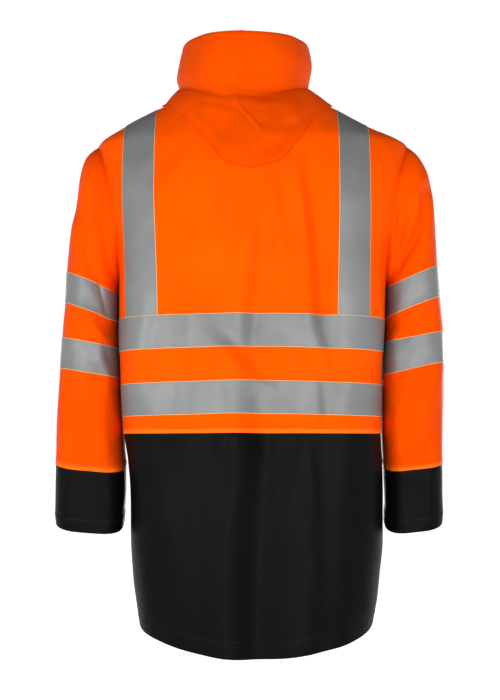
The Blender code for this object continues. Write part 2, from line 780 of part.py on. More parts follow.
def make_sleeves(orange, black, grey, collection):
    last = len(SLEEVE_RINGS[1]) - 1
    for side, word in ((1, "left"), (-1, "right")):
        grid = sleeve_grid(side, range(CUFF_RING + 1))
        wall(f"sleeve_{word}", lay(grid, ("bottom", "top")), CLOTH_SPAN, orange, collection, True)
        grid = sleeve_grid(side, range(CUFF_RING, last + 1))
        wall(f"cuff_{word}", lay(grid, ("bottom",)), CLOTH_SPAN, black, collection, True)
        for number, rings in enumerate(SLEEVE_TAPES, 1):
            grid = sleeve_grid(side, rings)
            wall(f"tape_sleeve_{word}_{number}", grid, TAPE_SPAN, grey, collection, True)


def make_collar(orange, collection):
    columns = [(1, -1, u) for u in range(MIDDLE, NECK_COLUMN, -1)]
    columns += [(1, 1, u) for u in range(NECK_COLUMN, MIDDLE + 1)]
    columns += [(-1, 1, u) for u in range(MIDDLE - 1, NECK_COLUMN - 1, -1)]
    columns += [(-1, -1, u) for u in range(NECK_COLUMN + 1, MIDDLE + 1)]
    cells = [[collar_point(*column, w) for column in columns] for w in (0.012, 0.34, 0.67, 1.0)]
    grid = grid_of(cells, slants([True] * 3, [True] * (len(columns) - 1)))
    wall("collar", grid, CLOTH_SPAN, orange, collection)


def make_hood(orange, collection):
    points = hood_grid()
    normals = -grid_normals(points)
    middle = points.shape[1] // 2
    across = np.array([True] * middle)
    down = [True] * (len(points) - 1)
    left = Grid(points[:, : middle + 1], normals[:, : middle + 1], slants(down, across))
    right = Grid(points[:, middle:], normals[:, middle:], slants(down, ~across))
    wall("hood_left", lay(left, ("end",)), CLOTH_SPAN, orange, collection)
    wall("hood_right", lay(right, ("start",)), CLOTH_SPAN, orange, collection)


def make_zip(black, collection):
    """Each half is a woven tape behind the front's edge, with its row of teeth as a bead."""
    outline = [(GAP / 2, -2.9), (12.0, -2.9), (12.0, -2.1), (3.0, -2.1), (3.0, 0.6), (GAP / 2, 0.6)]
    stops = list(range(TOP_ROW + 1)) + [TOP_ROW + 0.34, TOP_ROW + 0.67, TOP_ROW + 0.97]
    for side, word in ((1, "left"), (-1, "right")):
        rows = []
        for v in stops:
            ring = []
            for off, up in outline:
                base, normal = zip_base(side, off, v)
                ring.append(base + normal * up)
            rows.append(ring)
        loft(f"zip_{word}", np.array(rows), black, collection)


def loft(name, rings, look, collection):
    """A solid bar through a row of closed outlines."""
    count, corners = rings.shape[:2]
    faces = [list(range(corners))]
    faces.append([(count - 1) * corners + j for j in reversed(range(corners))])
    for i in range(count - 1):
        for j in range(corners):
            a = i * corners + j
            b = i * corners + (j + 1) % corners
            faces.append([a, a + corners, b + corners, b])
    mesh = bpy.data.meshes.new(name)
    mesh.from_pydata((rings.reshape(-1, 3) * MM).tolist(), [], faces)
    if volume(mesh) < 0:
        mesh.flip_normals()
    return add(name, mesh, look, collection)


def box(name, size, place):
    bpy.ops.mesh.primitive_cube_add(size=1, location=[c * MM for c in place])
    obj = bpy.context.object
    obj.name = name
    obj.scale = [s * MM for s in size]
    bpy.ops.object.transform_apply(location=False, rotation=False, scale=True)
    return obj


def rod(name, radius, length, place, sides=16):
    """A round bar along X."""
    bpy.ops.mesh.primitive_cylinder_add(
        vertices=sides, radius=radius * MM, depth=length * MM, location=[c * MM for c in place]
    )
    obj = bpy.context.object
    obj.name = name
    obj.rotation_euler = (0, math.pi / 2, 0)
    return obj


def combine(target, other, operation, helpers):
    modifier = target.modifiers.new(other.name, "BOOLEAN")
    modifier.operation = operation
    modifier.object = other
    other.hide_render = True
    other.display_type = "WIRE"
    move(other, helpers)


def move(obj, collection):
    for held in list(obj.users_collection):
        held.objects.unlink(obj)
    collection.objects.link(obj)


def make_slider(metal, collection, helpers):
    """The slider rides on the teeth near the top of the collar. Its pull tab hangs from a pin."""
    ends = [zip_base(side, 0.0, TOP_ROW + w)[0] for side in (1, -1) for w in (0.7, 0.94)]
    base = sum(ends) / len(ends)
    x = base[0]
    front = min(end[1] for end in ends) - 0.6 - GAP
    z = base[2]
    slider = box("zip_slider", (SLIDER_W, SLIDER_T, SLIDER_H), (x, front - SLIDER_T / 2, z))
    pin_y = front - SLIDER_T - 3.4
    for side in (1, -1):
        place = (x + side * (PULL_W / 2 + 1.2), front - SLIDER_T - 2.2, z)
        combine(slider, box(f"slider_ear_{side}", (1.4, 6.0, 5.0), place), "UNION", helpers)
    combine(slider, rod("slider_pin", PIN_R, PULL_W + 3.0, (x, pin_y, z)), "UNION", helpers)
    slider.data.materials.append(metal)
    move(slider, collection)
    pull = rod("zip_pull", BARREL_R, PULL_W - 0.6, (0, 0, 0))
    tab_z = -PULL_LENGTH / 2 - 0.5
    tab = box("pull_tab", (PULL_W, PULL_T, PULL_LENGTH - 2), (0, -0.3, tab_z))
    hole = rod("pull_hole", BARREL_HOLE, PULL_W + 4, (0, 0, 0))
    hinge = bpy.data.objects.new("zip_pull_hinge", None)
    collection.objects.link(hinge)
    hinge.location = (x * MM, pin_y * MM, z * MM)
    combine(pull, tab, "UNION", helpers)
    combine(pull, hole, "DIFFERENCE", helpers)
    pull.data.materials.append(metal)
    move(pull, collection)
    for obj in (pull, tab, hole):
        obj.parent = hinge


def main():
    drop_scene()
    jacket = bpy.data.collections.new("hi_vis_work_jacket")
    helpers = bpy.data.collections.new("cutters")
    bpy.context.scene.collection.children.link(jacket)
    bpy.context.scene.collection.children.link(helpers)
    orange = material("orange_cloth", ORANGE, 0.45)
    black = material("black_cloth", BLACK, 0.5)
    grey = material("reflective_tape", GREY, 0.4)
    zip_look = material("zip_black", ZIP_BLACK, 0.5)
    metal = material("zip_metal", (0.25, 0.25, 0.26), 0.35, 1.0)
    make_panels(orange, black, jacket)
    make_body_tapes(grey, jacket)
    make_braces(grey, jacket)
    make_sleeves(orange, black, grey, jacket)
    make_collar(orange, jacket)
    make_hood(orange, jacket)
    make_zip(zip_look, jacket)
    make_slider(metal, jacket, helpers)


main()
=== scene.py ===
"""Hi-vis work jacket: a hip-length rain jacket with a turned-down hood, a front zip and reflective bands.

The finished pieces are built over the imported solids, in the same frame: metres, +Z up, the back of the
jacket faces +Y and the wearer's left is +X. The tables and the surface functions are in millimetres.
"""

import math
from collections import namedtuple

import bmesh
import bpy
import numpy as np
from bpy.props import FloatProperty, FloatVectorProperty, PointerProperty
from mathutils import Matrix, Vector


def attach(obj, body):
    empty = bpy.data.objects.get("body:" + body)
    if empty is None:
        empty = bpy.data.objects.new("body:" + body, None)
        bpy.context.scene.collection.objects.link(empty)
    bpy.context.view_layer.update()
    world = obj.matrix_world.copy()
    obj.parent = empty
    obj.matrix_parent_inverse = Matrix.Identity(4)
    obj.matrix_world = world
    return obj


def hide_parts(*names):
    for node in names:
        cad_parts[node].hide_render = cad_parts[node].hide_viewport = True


bl_info = {
    "name": "Hi-vis work jacket",
    "version": (1, 0, 0),
    "blender": (4, 5, 0),
    "location": "View3D > Sidebar > Jacket",
    "description": "Builds the cloth, reflective bands, zip and stitching of a hi-vis work jacket",
    "category": "Object",
}

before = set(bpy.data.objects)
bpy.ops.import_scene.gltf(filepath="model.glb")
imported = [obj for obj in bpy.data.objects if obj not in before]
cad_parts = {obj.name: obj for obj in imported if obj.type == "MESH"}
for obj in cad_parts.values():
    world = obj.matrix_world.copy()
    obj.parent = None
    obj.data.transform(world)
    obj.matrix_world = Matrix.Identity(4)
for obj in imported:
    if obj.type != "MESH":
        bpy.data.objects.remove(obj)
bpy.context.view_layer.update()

BODY_NAME = "jacket"
SIDES = ((1, "left"), (-1, "right"))
MM = 0.001
GAP = 0.3
UNDERARM_Z = -285.0
SHOULDER_Z = -66.0
NECK_Z = 22.0
NECK_HALF = 84.0
NECK_BACK_Z = 12.0
NECK_FRONT_Z = -50.0
NECK_DEPTH_BACK = 73.0
NECK_DEPTH_FRONT = 84.0
ARMHOLE_POWER = 2.6
COLLAR_HEIGHT = 66.0
ZIP_HALF = 5.0
TAIL_POWER = 1.2
WAVE = 6.3
RIPPLES = 9
RIM_RADIUS = 0.8
BAND_CLEAR = 0.15
BAND_ROWS = 12
SIDE_COLUMNS = 32
INNER_COLUMNS = 88

# Level sections of the body: reach to the wearer's left and right, to the back and the front, and how
# square the section is (2 is an ellipse).
Section = namedtuple("Section", "z left right back front square")
SECTIONS = [
    Section(-870, 163, 183, 151, 142, 2.6),
    Section(-800, 171, 191, 150, 142, 2.7),
    Section(-772, 176, 197, 149, 141, 2.8),
    Section(-734, 181, 201, 148, 141, 2.9),
    Section(-678, 184, 206, 146, 140, 3.0),
    Section(-605, 185, 206, 144, 140, 3.2),
    Section(-556, 189, 205, 143, 140, 3.4),
    Section(-516, 195, 203, 142, 140, 3.6),
    Section(-437, 200, 204, 140, 141, 3.9),
    Section(-337, 203, 209, 139, 142, 4.0),
    Section(-285, 203, 211, 139, 142, 3.9),
    Section(-230, 210, 218, 141, 143, 3.4),
    Section(-175, 226, 235, 139, 138, 3.0),
    Section(-121, 236, 246, 131, 122, 2.7),
    Section(-81, 241, 252, 119, 103, 2.4),
    Section(-66, 239, 248, 114, 95, 2.3),
    Section(-34, 198, 187, 98, 79, 2.1),
    Section(-12, 158, 147, 86, 71, 2.0),
    Section(3, 126, 120, 78, 66, 2.0),
    Section(13, 104, 101, 72, 62, 2.0),
    Section(22, 84, 84, 66, 58, 2.0),
]

# Rows of the panels from the hem to the underarm: how far the back dips below its sides, and how far the
# sides droop below the middle.
Row = namedtuple("Row", "z tail droop")
ROWS = [
    Row(-800, 49, 0),
    Row(-765, 41, 0),
    Row(-725, 30, 0),
    Row(-680, 20, 0),
    Row(-635, 11, 0),
    Row(-590, 4, 0),
    Row(-550, 0, 0),
    Row(-516, 0, 1),
    Row(-487, 0, 5),
    Row(-437, 0, 6),
    Row(-387, 0, 6),
    Row(-337, 0, 5),
    Row(-285, 0, 0),
]
SEAM_ROW = 7
WAIST_TAPE = (8, 9)
CHEST_TAPE = (10, 11)
UNDERARM_ROW = 12
YOKE_ROWS = 12
TOP_ROW = UNDERARM_ROW + YOKE_ROWS
BRACE_OUTER = 4
BRACE_INNER = 6
NECK_COLUMN = 8
MIDDLE = 12
Brace = namedtuple("Brace", "z outer inner")
BRACE = {
    1: (Brace(-337, 189, 138), Brace(-110, 195, 145)),
    -1: (Brace(-337, 181, 132), Brace(-110, 183, 135)),
}
OUTER_SHARE = 0.93
INNER_SHARE = 0.74

# Folds, seen from behind: a line from (x0, z0) to (x1, z1), how far it bows to the wearer's left, its
# half-width, its depth, how sharp its crest is (2 is round, 1 is a crease, 0 is a step down to the
# wearer's right), and how much wider it runs out on the wearer's right of the line.
Fold = namedtuple("Fold", "x0 z0 x1 z1 bow half depth crest slope", defaults=(1,))
BACK_FOLDS = [
    Fold(-22, -170, -10, -340, 0, 20, -3.5, 2),
    Fold(-92, -105, -116, -345, 0, 20, -4.5, 2),
    Fold(-10, -236, 0, -322, 1, 18, 7.0, 0),
    Fold(9, -240, 18, -326, 0, 9, 1.4, 1.2),
    Fold(-82, -135, -97, -330, -2, 13, 4.6, 0),
    Fold(-90, -155, -110, -330, -2, 13, -3.6, 2),
    Fold(-76, -150, -92, -330, -3, 8, 1.4, 1.2),
    Fold(-40, -145, -52, -225, 0, 11, 3.4, 0),
    Fold(104, -190, 112, -330, 3, 16, 2.0, 0),
    Fold(56, -150, 40, -215, 0, 16, 1.8, 0),
    Fold(130, -120, 92, -78, 6, 13, 1.6, 0),
    Fold(36, -380, 20, -400, 0, 14, 1.5, 0),
    Fold(24, -394, -19, -434, 3, 11, 2.4, 0),
    Fold(4, -352, 4, -392, 0, 10, 1.6, 0),
    Fold(103, -342, 104, -386, 0, 9, 1.8, 0),
    Fold(-99, -345, -108, -382, 0, 10, 2.2, 0),
    Fold(-116, -390, -122, -436, 0, 10, 2.2, 0),
    Fold(4, -430, 3, -500, 0, 27, 9.0, 0),
    Fold(-105, -444, -108, -486, 0, 9, 2.2, 0),
    Fold(-104, -350, -110, -530, 0, 24, -3.5, 2),
    Fold(2, -350, 0, -520, 0, 24, -2.5, 2),
    Fold(150, -352, 158, -432, 4, 12, 1.8, 0),
    Fold(96, -446, 100, -500, 0, 14, 1.6, 0),
    Fold(-7, -545, 10, -850, 8, 27, 11.5, 0),
    Fold(-14, -690, -16, -860, 0, 30, -3.0, 2),
    Fold(-97, -550, -97, -820, -3, 13, 2.0, 0),
    Fold(-20, -597, -50, -606, 0, 6, 1.4, 2),
    Fold(-118, -560, -118, -810, 0, 26, -1.4, 2),
    Fold(38, -540, 50, -700, 0, 19, 2.2, 2),
    Fold(-46, -570, -50, -660, 0, 27, 1.4, 2),
    Fold(-40, -690, -46, -840, 0, 30, 1.2, 2),
    Fold(112, -570, 104, -640, 6, 25, -1.8, 2),
    Fold(108, -680, 100, -840, 4, 27, 2.0, 2),
    Fold(150, -570, 142, -820, 5, 20, 1.2, 0),
    Fold(-150, -570, -150, -820, 3, 20, 0.8, 0),
]
FRONT_FOLDS = [
    Fold(90, -150, 70, -330, 0, 22, -4.5, 2),
    Fold(-88, -140, -72, -340, 0, 22, -5, 2),
    Fold(66, -350, 84, -560, 0, 26, -3.5, 2),
    Fold(-60, -360, -90, -560, 0, 26, -4, 2),
    Fold(80, -560, 96, -800, 0, 28, -5, 2),
    Fold(-86, -560, -92, -800, 0, 28, -4.5, 2),
    Fold(140, -590, 138, -800, 0, 22, 3, 2),
    Fold(-146, -590, -140, -800, 0, 22, 3, 2),
    Fold(92, -160, 72, -300, 5, 8, -3.7, 1.2, 1.8),
    Fold(76, -150, 52, -270, 0, 7, 2.5, 1.2),
    Fold(-90, -150, -70, -310, -5, 8, -4.1, 1.2, 1.6),
    Fold(-108, -170, -98, -290, 0, 8, 2.4, 1.2),
    Fold(40, -120, 34, -240, 3, 12, -2.7, 2),
    Fold(-38, -150, -46, -260, 0, 12, -2.5, 2),
    Fold(62, -345, 92, -430, 0, 10, -3.1, 2, 1.2),
    Fold(-60, -350, -82, -440, 0, 9, -3.1, 1.2, 1.2),
    Fold(120, -350, 128, -470, 3, 12, -2.7, 2),
    Fold(-124, -360, -130, -480, 0, 12, -2.4, 2),
    Fold(78, -545, 90, -700, 4, 11, -4.1, 2, 1.6),
    Fold(-84, -550, -88, -690, -3, 12, -3.7, 2, 1.5),
    Fold(48, -560, 56, -760, 0, 12, 2.7, 2),
    Fold(-50, -560, -54, -740, 0, 13, 2.7, 2),
    Fold(124, -560, 128, -700, 0, 12, -2.7, 2),
    Fold(-120, -570, -128, -720, 0, 11, -2.5, 2),
]

# Rings of a sleeve: its outer and inner point, seen from behind, its half depth, and how far its back
# dips. The first ring is the armhole.
Ring = namedtuple("Ring", "out_x out_z in_x in_z depth dip")
SLEEVE_RINGS = {
    1: [
        Ring(239, -66, 203, -285, 82, 0),
        Ring(257, -86, 205.2, -287, 83, 0),
        Ring(266, -118, 205.8, -289, 84, 0),
        Ring(272, -165, 206, -292, 84, 0),
        Ring(281, -214, 206, -295, 84, 0),
        Ring(286, -266, 206, -298, 84, 0),
        Ring(288, -314, 206, -344, 83, 0),
        Ring(291, -341, 206, -364, 81, 0),
        Ring(293, -368, 205.5, -384, 79, 0),
        Ring(296, -416, 203.6, -431, 76, 0),
        Ring(299, -455, 201.8, -469, 73, 1),
        Ring(301, -490, 199.8, -504, 70, 3),
        Ring(302, -526, 197, -536, 67, 7),
        Ring(302.5, -558, 195, -568, 64, 11),
        Ring(303, -594, 194.5, -602, 61, 12.5),
        Ring(303, -625, 196, -633, 59, 13.5),
        Ring(301, -650, 198, -659, 57, 14.5),
    ],
    -1: [
        Ring(248, -66, 211, -285, 82, 0),
        Ring(265, -84, 213.4, -286.2, 83, 0),
        Ring(279, -112, 214, -287.4, 84, 0),
        Ring(287, -155, 214, -288.6, 84, 0),
        Ring(290, -205, 213.8, -289.8, 84, 0),
        Ring(292, -256, 213.2, -291, 84, 0),
        Ring(296, -304, 212.6, -337, 83, 0),
        Ring(299, -332, 211.2, -356, 81, 0),
        Ring(301, -358, 209.8, -376, 79, 0),
        Ring(302, -405, 208, -427, 76, 0),
        Ring(302, -448, 207.2, -464, 73, 1),
        Ring(301, -486, 207, -500, 70, 3),
        Ring(300, -522, 208, -534, 66, 7),
        Ring(300, -557, 209.4, -567, 62, 10),
        Ring(300, -592, 210.4, -601, 58, 12.5),
        Ring(300.5, -622, 211, -630, 56, 15),
        Ring(299, -646, 210.4, -656, 54, 17),
    ],
}
SLEEVE_SQUARE = 3.1
SLEEVE_TURNS = 96
SLEEVE_TAPES = ((5, 6), (8, 9))
CUFF_RING = 13
LAST_RING = 16
SLEEVE_FOLDS = {
    1: [
        Fold(232, -180, 214, -290, 0, 14, -4.0, 2),
        Fold(252, -330, 222, -372, 0, 16, 3.0, 2),
        Fold(226, -440, 250, -540, 0, 16, 2.5, 2),
        Fold(268, -450, 262, -560, 0, 16, -2.5, 2),
        Fold(219, -178, 200, -226, 0, 6, -4.0, 1.2, 3),
        Fold(216, -100, 216, -180, 4, 16, 3.2, 0),
        Fold(258, -200, 242, -290, 3, 9, 4.0, 0),
        Fold(250, -196, 236, -280, 2, 7, 2.2, 1.2),
        Fold(232, -222, 228, -262, 0, 9, 2.2, 2),
        Fold(236, -130, 226, -190, 0, 12, 2.0, 0),
        Fold(251, -336, 224, -370, 0, 8, 3.4, 1.2),
        Fold(236, -345, 222, -395, 0, 10, 4.0, 0),
        Fold(262, -348, 240, -384, 0, 8, -2.8, 2),
        Fold(228, -286, 218, -326, 0, 8, -6.5, 1.2),
        Fold(208, -362, 196, -398, 0, 9, -4.4, 2),
        Fold(276, -300, 262, -332, 0, 8, -1.8, 2),
        Fold(236, -396, 244, -440, -3, 12, 2.2, 0),
        Fold(222, -404, 214, -440, -3, 8, 2.2, 0),
        Fold(240, -440, 252, -520, -4, 10, 2.4, 0),
        Fold(282, -420, 276, -500, 0, 10, -2.4, 2),
        Fold(222, -470, 214, -540, 0, 10, 2.2, 0),
        Fold(262, -500, 256, -556, 0, 10, 2.0, 0),
        Fold(240, -580, 236, -650, 0, 12, -2.4, 2),
        Fold(272, -590, 274, -650, 0, 10, 2.0, 2),
    ],
    -1: [
        Fold(262, -322, 230, -372, 0, 16, 3.0, 2),
        Fold(284, -420, 260, -500, 0, 16, 3.0, 2),
        Fold(271, -152, 230, -252, 9.8, 7.0, -11.0, 2, 1.3),
        Fold(262, -133, 236, -163, 0, 6, 2.8, 1.2),
        Fold(248, -135, 222, -147, 0, 6, -2.8, 1.2),
        Fold(219, -150, 213, -250, 2, 5, 4.6, 1.2, 1.6),
        Fold(229, -160, 224, -226, 3, 9, -9.0, 2),
        Fold(216, -240, 212, -300, 0, 8, 2.4, 2),
        Fold(250, -262, 240, -300, 3, 10, 2.0, 2),
        Fold(260, -333, 226, -369, 3, 8, 3.4, 1.2),
        Fold(250, -316, 222, -348, 0, 9, -2.4, 2),
        Fold(272, -338, 244, -380, 0, 8, -2.8, 2),
        Fold(282, -421, 256, -503, 5, 9, 3.0, 1.2),
        Fold(276, -414, 246, -460, 0, 9, -4.0, 2),
        Fold(232, -400, 224, -462, 0, 9, -3.0, 2),
        Fold(236, -480, 242, -548, 0, 10, -2.6, 2),
        Fold(286, -510, 276, -556, 0, 9, -2.0, 2),
        Fold(250, -580, 254, -650, 0, 12, -2.4, 2),
        Fold(276, -590, 272, -650, 0, 9, 2.0, 2),
    ],
}

# The hood turned down: rings of the part that stands round the collar, with how far they lean to the
# wearer's left, then its lower edge on the yoke and the lines of its rolled rim over and under that edge.
HoodRing = namedtuple("HoodRing", "side back front z_side z_back z_front shift")
HOOD_RINGS = [
    HoodRing(97, 98, 101, 97, 99, 16, 1.0),
    HoodRing(101, 101, 103, 88, 86, 7, 1.0),
    HoodRing(105.5, 103, 105, 64, 60, -4, 1.1),
    HoodRing(105.5, 103, 106, 44, 34, -12, 1.5),
    HoodRing(102.5, 103, 105, 28, 3, -22, 1.4),
]
HOOD_EDGE = [(0, 1), (20, -10), (44, -40), (56, -62), (64, -84), (73, -106), (90, -115)]
HOOD_FRONT_EDGE = [(0, 1), (30, -13), (55, -34), (90, -66)]
Rim = namedtuple("Rim", "rise side back")
HOOD_RIM = [Rim(5, 2.2, 5.8), Rim(-1, 1.5, 3.4), Rim(-2.2, 0.8, 1.4)]
HOOD_FRONT = 58
HOOD_CLEAR = 1.3
HOOD_BULGE_BACK = 12.0
HOOD_BULGE_SIDE = 0.5
HOOD_SHIFT = 7.0
HOOD_SEAM = [(0, 6), (0.25, 8), (0.42, 12), (0.5, 5), (0.58, -7)]
HOOD_SEAM += [(0.67, -17), (0.72, -18), (0.78, -8), (0.83, 5), (1, 3)]
HOOD_BACK_COLUMNS = 9
HOOD_FRONT_COLUMNS = 5
HOOD_UNDER_ROWS = 4
HOOD_POUCH_ROWS = 7
HOOD_OUTER_ROWS = len(HOOD_RINGS) + HOOD_POUCH_ROWS
HOOD_FINE = 5
HOOD_FOLDS = [
    Fold(40, 3, -34, 2, 0, 4, 1.6, 1.2),
    Fold(-34, 2, -66, 26, 0, 9, -1.4, 2, 1.4),
    Fold(36, 46, 36, 4, 0, 9, -2.0, 0),
    Fold(66, -13, 34, -19, 0, 6, -1.8, 1.2),
    Fold(2, -12, -38, -16, 3, 10, 2.6, 2),
    Fold(60, 72, 54, 20, 0, 18, 2.6, 2),
    Fold(-50, 66, -60, 26, 0, 18, 2.4, 2),
    Fold(-20, 62, -8, 16, 4, 16, -2.0, 2),
    Fold(-24, -48, -62, -52, 0, 12, -2.2, 2),
    Fold(40, -52, 62, -78, 0, 16, -2.6, 2),
    Fold(-52, -64, -34, -92, 0, 14, -2.4, 2),
]

# The zip: places of its tapes' points off the centre line, how deep the tapes and the teeth lie, and the
# size of a tooth, which is longer across the zip than along it.
ZIP_TAPE_OFFS = (0.8, 2.0, 4.0, 6.0, 9.0, 12.0)
ZIP_TAPE_SINK = (-2.7, -2.1)
TOOTH_OFF = 1.3
TOOTH_SINK = 0.9
TOOTH_SIZE = (0.0030, 0.0030, 0.0014)
TOOTH_BEVEL = 0.0003

# A stitch is a short bead that dips into the cloth at both ends. The heights are those of its line.
STITCH_SIZE = (0.00028, 0.00028, 0.0013)
STITCH_ON_BAND = 0.72
STITCH_ON_ORANGE = 0.1
STITCH_ON_BLACK = 0.25

# The stage, in metres and watts.
FLOOR_Z = -1.45
Lamp = namedtuple("Lamp", "name x y z size power")
LAMPS = (
    Lamp("key", 0.85, 1.1, -0.35, 0.35, 6.4),
    Lamp("side", -0.6, 1.3, -0.4, 0.5, 5.4),
    Lamp("fill", -0.05, 1.9, -0.5, 0.6, 9.0),
)
LAMP_AIM = (0, 0, -0.4)
CAMERA_LENS = 81.77
CAMERA_PLACE = (0, 2.5, -0.519)
CAMERA_TILT = 93.06


class Curve:
    """A smooth curve through a table's points, which never overshoots them."""

    def __init__(self, xs, ys):
        self.x = np.array(xs, float)
        self.y = np.array(ys, float)
        step = np.diff(self.x)
        slope = np.diff(self.y) / step
        self.m = np.zeros(len(self.x))
        self.m[[0, -1]] = slope[[0, -1]]
        for i in range(1, len(slope)):
            if slope[i - 1] * slope[i] > 0:
                w1 = 2 * step[i] + step[i - 1]
                w2 = step[i] + 2 * step[i - 1]
                self.m[i] = (w1 + w2) / (w1 / slope[i - 1] + w2 / slope[i])

    def __call__(self, x):
        x = np.clip(x, self.x[0], self.x[-1])
        i = np.clip(np.searchsorted(self.x, x, side="right") - 1, 0, len(self.x) - 2)
        h = self.x[i + 1] - self.x[i]
        t = (x - self.x[i]) / h
        level = self.y[i] * (1 + 2 * t) * (1 - t) ** 2 + self.y[i + 1] * t * t * (3 - 2 * t)
        return level + h * (self.m[i] * t * (1 - t) ** 2 - self.m[i + 1] * t * t * (1 - t))


def column_curves(rows, places=None):
    """A curve for each column of a table, over its rows' numbers or the places given."""
    places = range(len(rows)) if places is None else places
    return type(rows[0])(*(Curve(places, column) for column in zip(*rows)))


BODY = column_curves(SECTIONS, [row.z for row in SECTIONS])
ROW = column_curves(ROWS)
SLEEVE = {side: column_curves(rings) for side, rings in SLEEVE_RINGS.items()}
HOOD_EDGE_Z = {1: Curve(*zip(*HOOD_EDGE)), -1: Curve(*zip(*HOOD_FRONT_EDGE))}
HOOD_SEAM_X = Curve(*zip(*HOOD_SEAM))


def mix(a, b, t):
    return a + (b - a) * t


def smooth(t):
    t = np.clip(t, 0.0, 1.0)
    return t * t * (3 - 2 * t)


def bell(off, width):
    return np.exp(-((off / width) ** 2))


def unit(vectors):
    return vectors / np.linalg.norm(vectors, axis=-1, keepdims=True)


def halve(holds, low, high):
    """Where a test that holds at low and not at high stops holding."""
    for _ in range(30):
        middle = (low + high) / 2
        held = holds(middle)
        low = np.where(held, middle, low)
        high = np.where(held, high, middle)
    return low


# ---------------------------------------------------------------- the body's surface


def reach(z, side):
    """How far the body reaches to one side at height z."""
    return np.where(side > 0, BODY.left(z), BODY.right(z))


def section(z, face):
    """Centre, half-width, depth and squareness of the level section at z. face is 1 at the back."""
    left, right = BODY.left(z), BODY.right(z)
    depth = np.where(face > 0, BODY.back(z), BODY.front(z))
    return (left - right) / 2, (left + right) / 2, depth, BODY.square(z)


def level_point(angle, z, side, face):
    """The body's point in a direction from the middle of its section: 0 is the side, pi / 2 the middle."""
    centre, half, depth, n = section(z, face)
    c = np.abs(np.cos(angle))
    s = np.abs(np.sin(angle))
    r = ((c / half) ** n + (s / depth) ** n) ** (-1 / n)
    return np.stack([centre + side * r * c, face * r * s, z + 0 * r], axis=-1)


def angle_at(x, z, side, face):
    """The direction in which the section at z reaches x."""

    def beyond(angle):
        return side * (level_point(angle, z, side, face)[..., 0] - x) > 0

    low = np.zeros(np.broadcast(x, z, side).shape)
    return halve(beyond, low, low + math.pi / 2)


def body_normal(points, face):
    """Outward directions at points near the body, by how the distance to its sections changes."""

    def outside(spots):
        centre, half, depth, n = section(spots[..., 2], face)
        return (np.abs(spots[..., 0] - centre) / half) ** n + (np.abs(spots[..., 1]) / depth) ** n

    grad = [outside(points + step) - outside(points - step) for step in np.eye(3) / 2]
    return unit(np.stack(grad, axis=-1))


def fold_height(x, z, folds):
    """How far the folds move the cloth in or out at points seen from behind."""
    height = 0.0 * x
    for fold in folds:
        along = np.array([fold.x1 - fold.x0, fold.z1 - fold.z0], float)
        length = np.linalg.norm(along)
        along = along / length
        dx, dz = x - fold.x0, z - fold.z0
        t = dx * along[0] + dz * along[1]
        middle = np.clip(t / length, 0, 1)
        off = dz * along[0] - dx * along[1] - fold.bow * 4 * middle * (1 - middle)
        off = off / (fold.half * np.where(off > 0, 1.0, fold.slope))
        past = np.maximum(np.maximum(-t, t - length), 0.0)
        form = np.exp(-(np.abs(off) ** fold.crest)) if fold.crest else off * np.exp(0.5 - off**2 / 2)
        height = height + fold.depth * form * bell(past, 1.1 * fold.half * (1 + fold.slope))
    return height


def ripple(x, z, seed):
    """A slight unevenness of hanging cloth, longer up and down than across."""
    rng = np.random.default_rng(seed)
    height = 0.0 * x
    for _ in range(RIPPLES):
        wide, tall = rng.uniform(34, 95), rng.uniform(90, 260)
        lean, start = rng.uniform(-0.5, 0.5), rng.uniform(0, WAVE)
        bend = 1.3 * np.sin(z / tall * WAVE + 2 * start)
        height = height + np.sin((x + lean * z) / wide * WAVE + start + bend)
    return height / RIPPLES


def shoulder_z(x, side):
    """Height of the shoulder line over x."""
    low, high = np.full(np.shape(x), SHOULDER_Z), np.full(np.shape(x), NECK_Z)
    return halve(lambda z: reach(z, side) > np.abs(x), low, high)


def neck_z(x, face):
    rise = np.minimum((np.abs(x) / NECK_HALF) ** 2, 1.0)
    return mix(np.where(face > 0, NECK_BACK_Z, NECK_FRONT_Z), NECK_Z, rise)


def armhole(side, face, a):
    """The armhole from the underarm (a = 0) to the shoulder (a = 1)."""
    f = (1 - np.cos(math.pi * a)) / 2
    z = mix(UNDERARM_Z, SHOULDER_Z, f)
    x = side * mix(reach(UNDERARM_Z, side), reach(SHOULDER_Z, side), f**ARMHOLE_POWER)
    centre, half, depth, n = section(z, face)
    y = depth * np.maximum(1 - (np.abs(x - centre) / half) ** n, 0.0) ** (1 / n)
    y = np.where((a <= 0) | (a >= 1), 0.0, y)
    return np.stack([x, face * y, z], axis=-1)


def brace_end(side, end):
    return Brace(*(np.where(side > 0, *both) for both in zip(BRACE[1][end], BRACE[-1][end])))


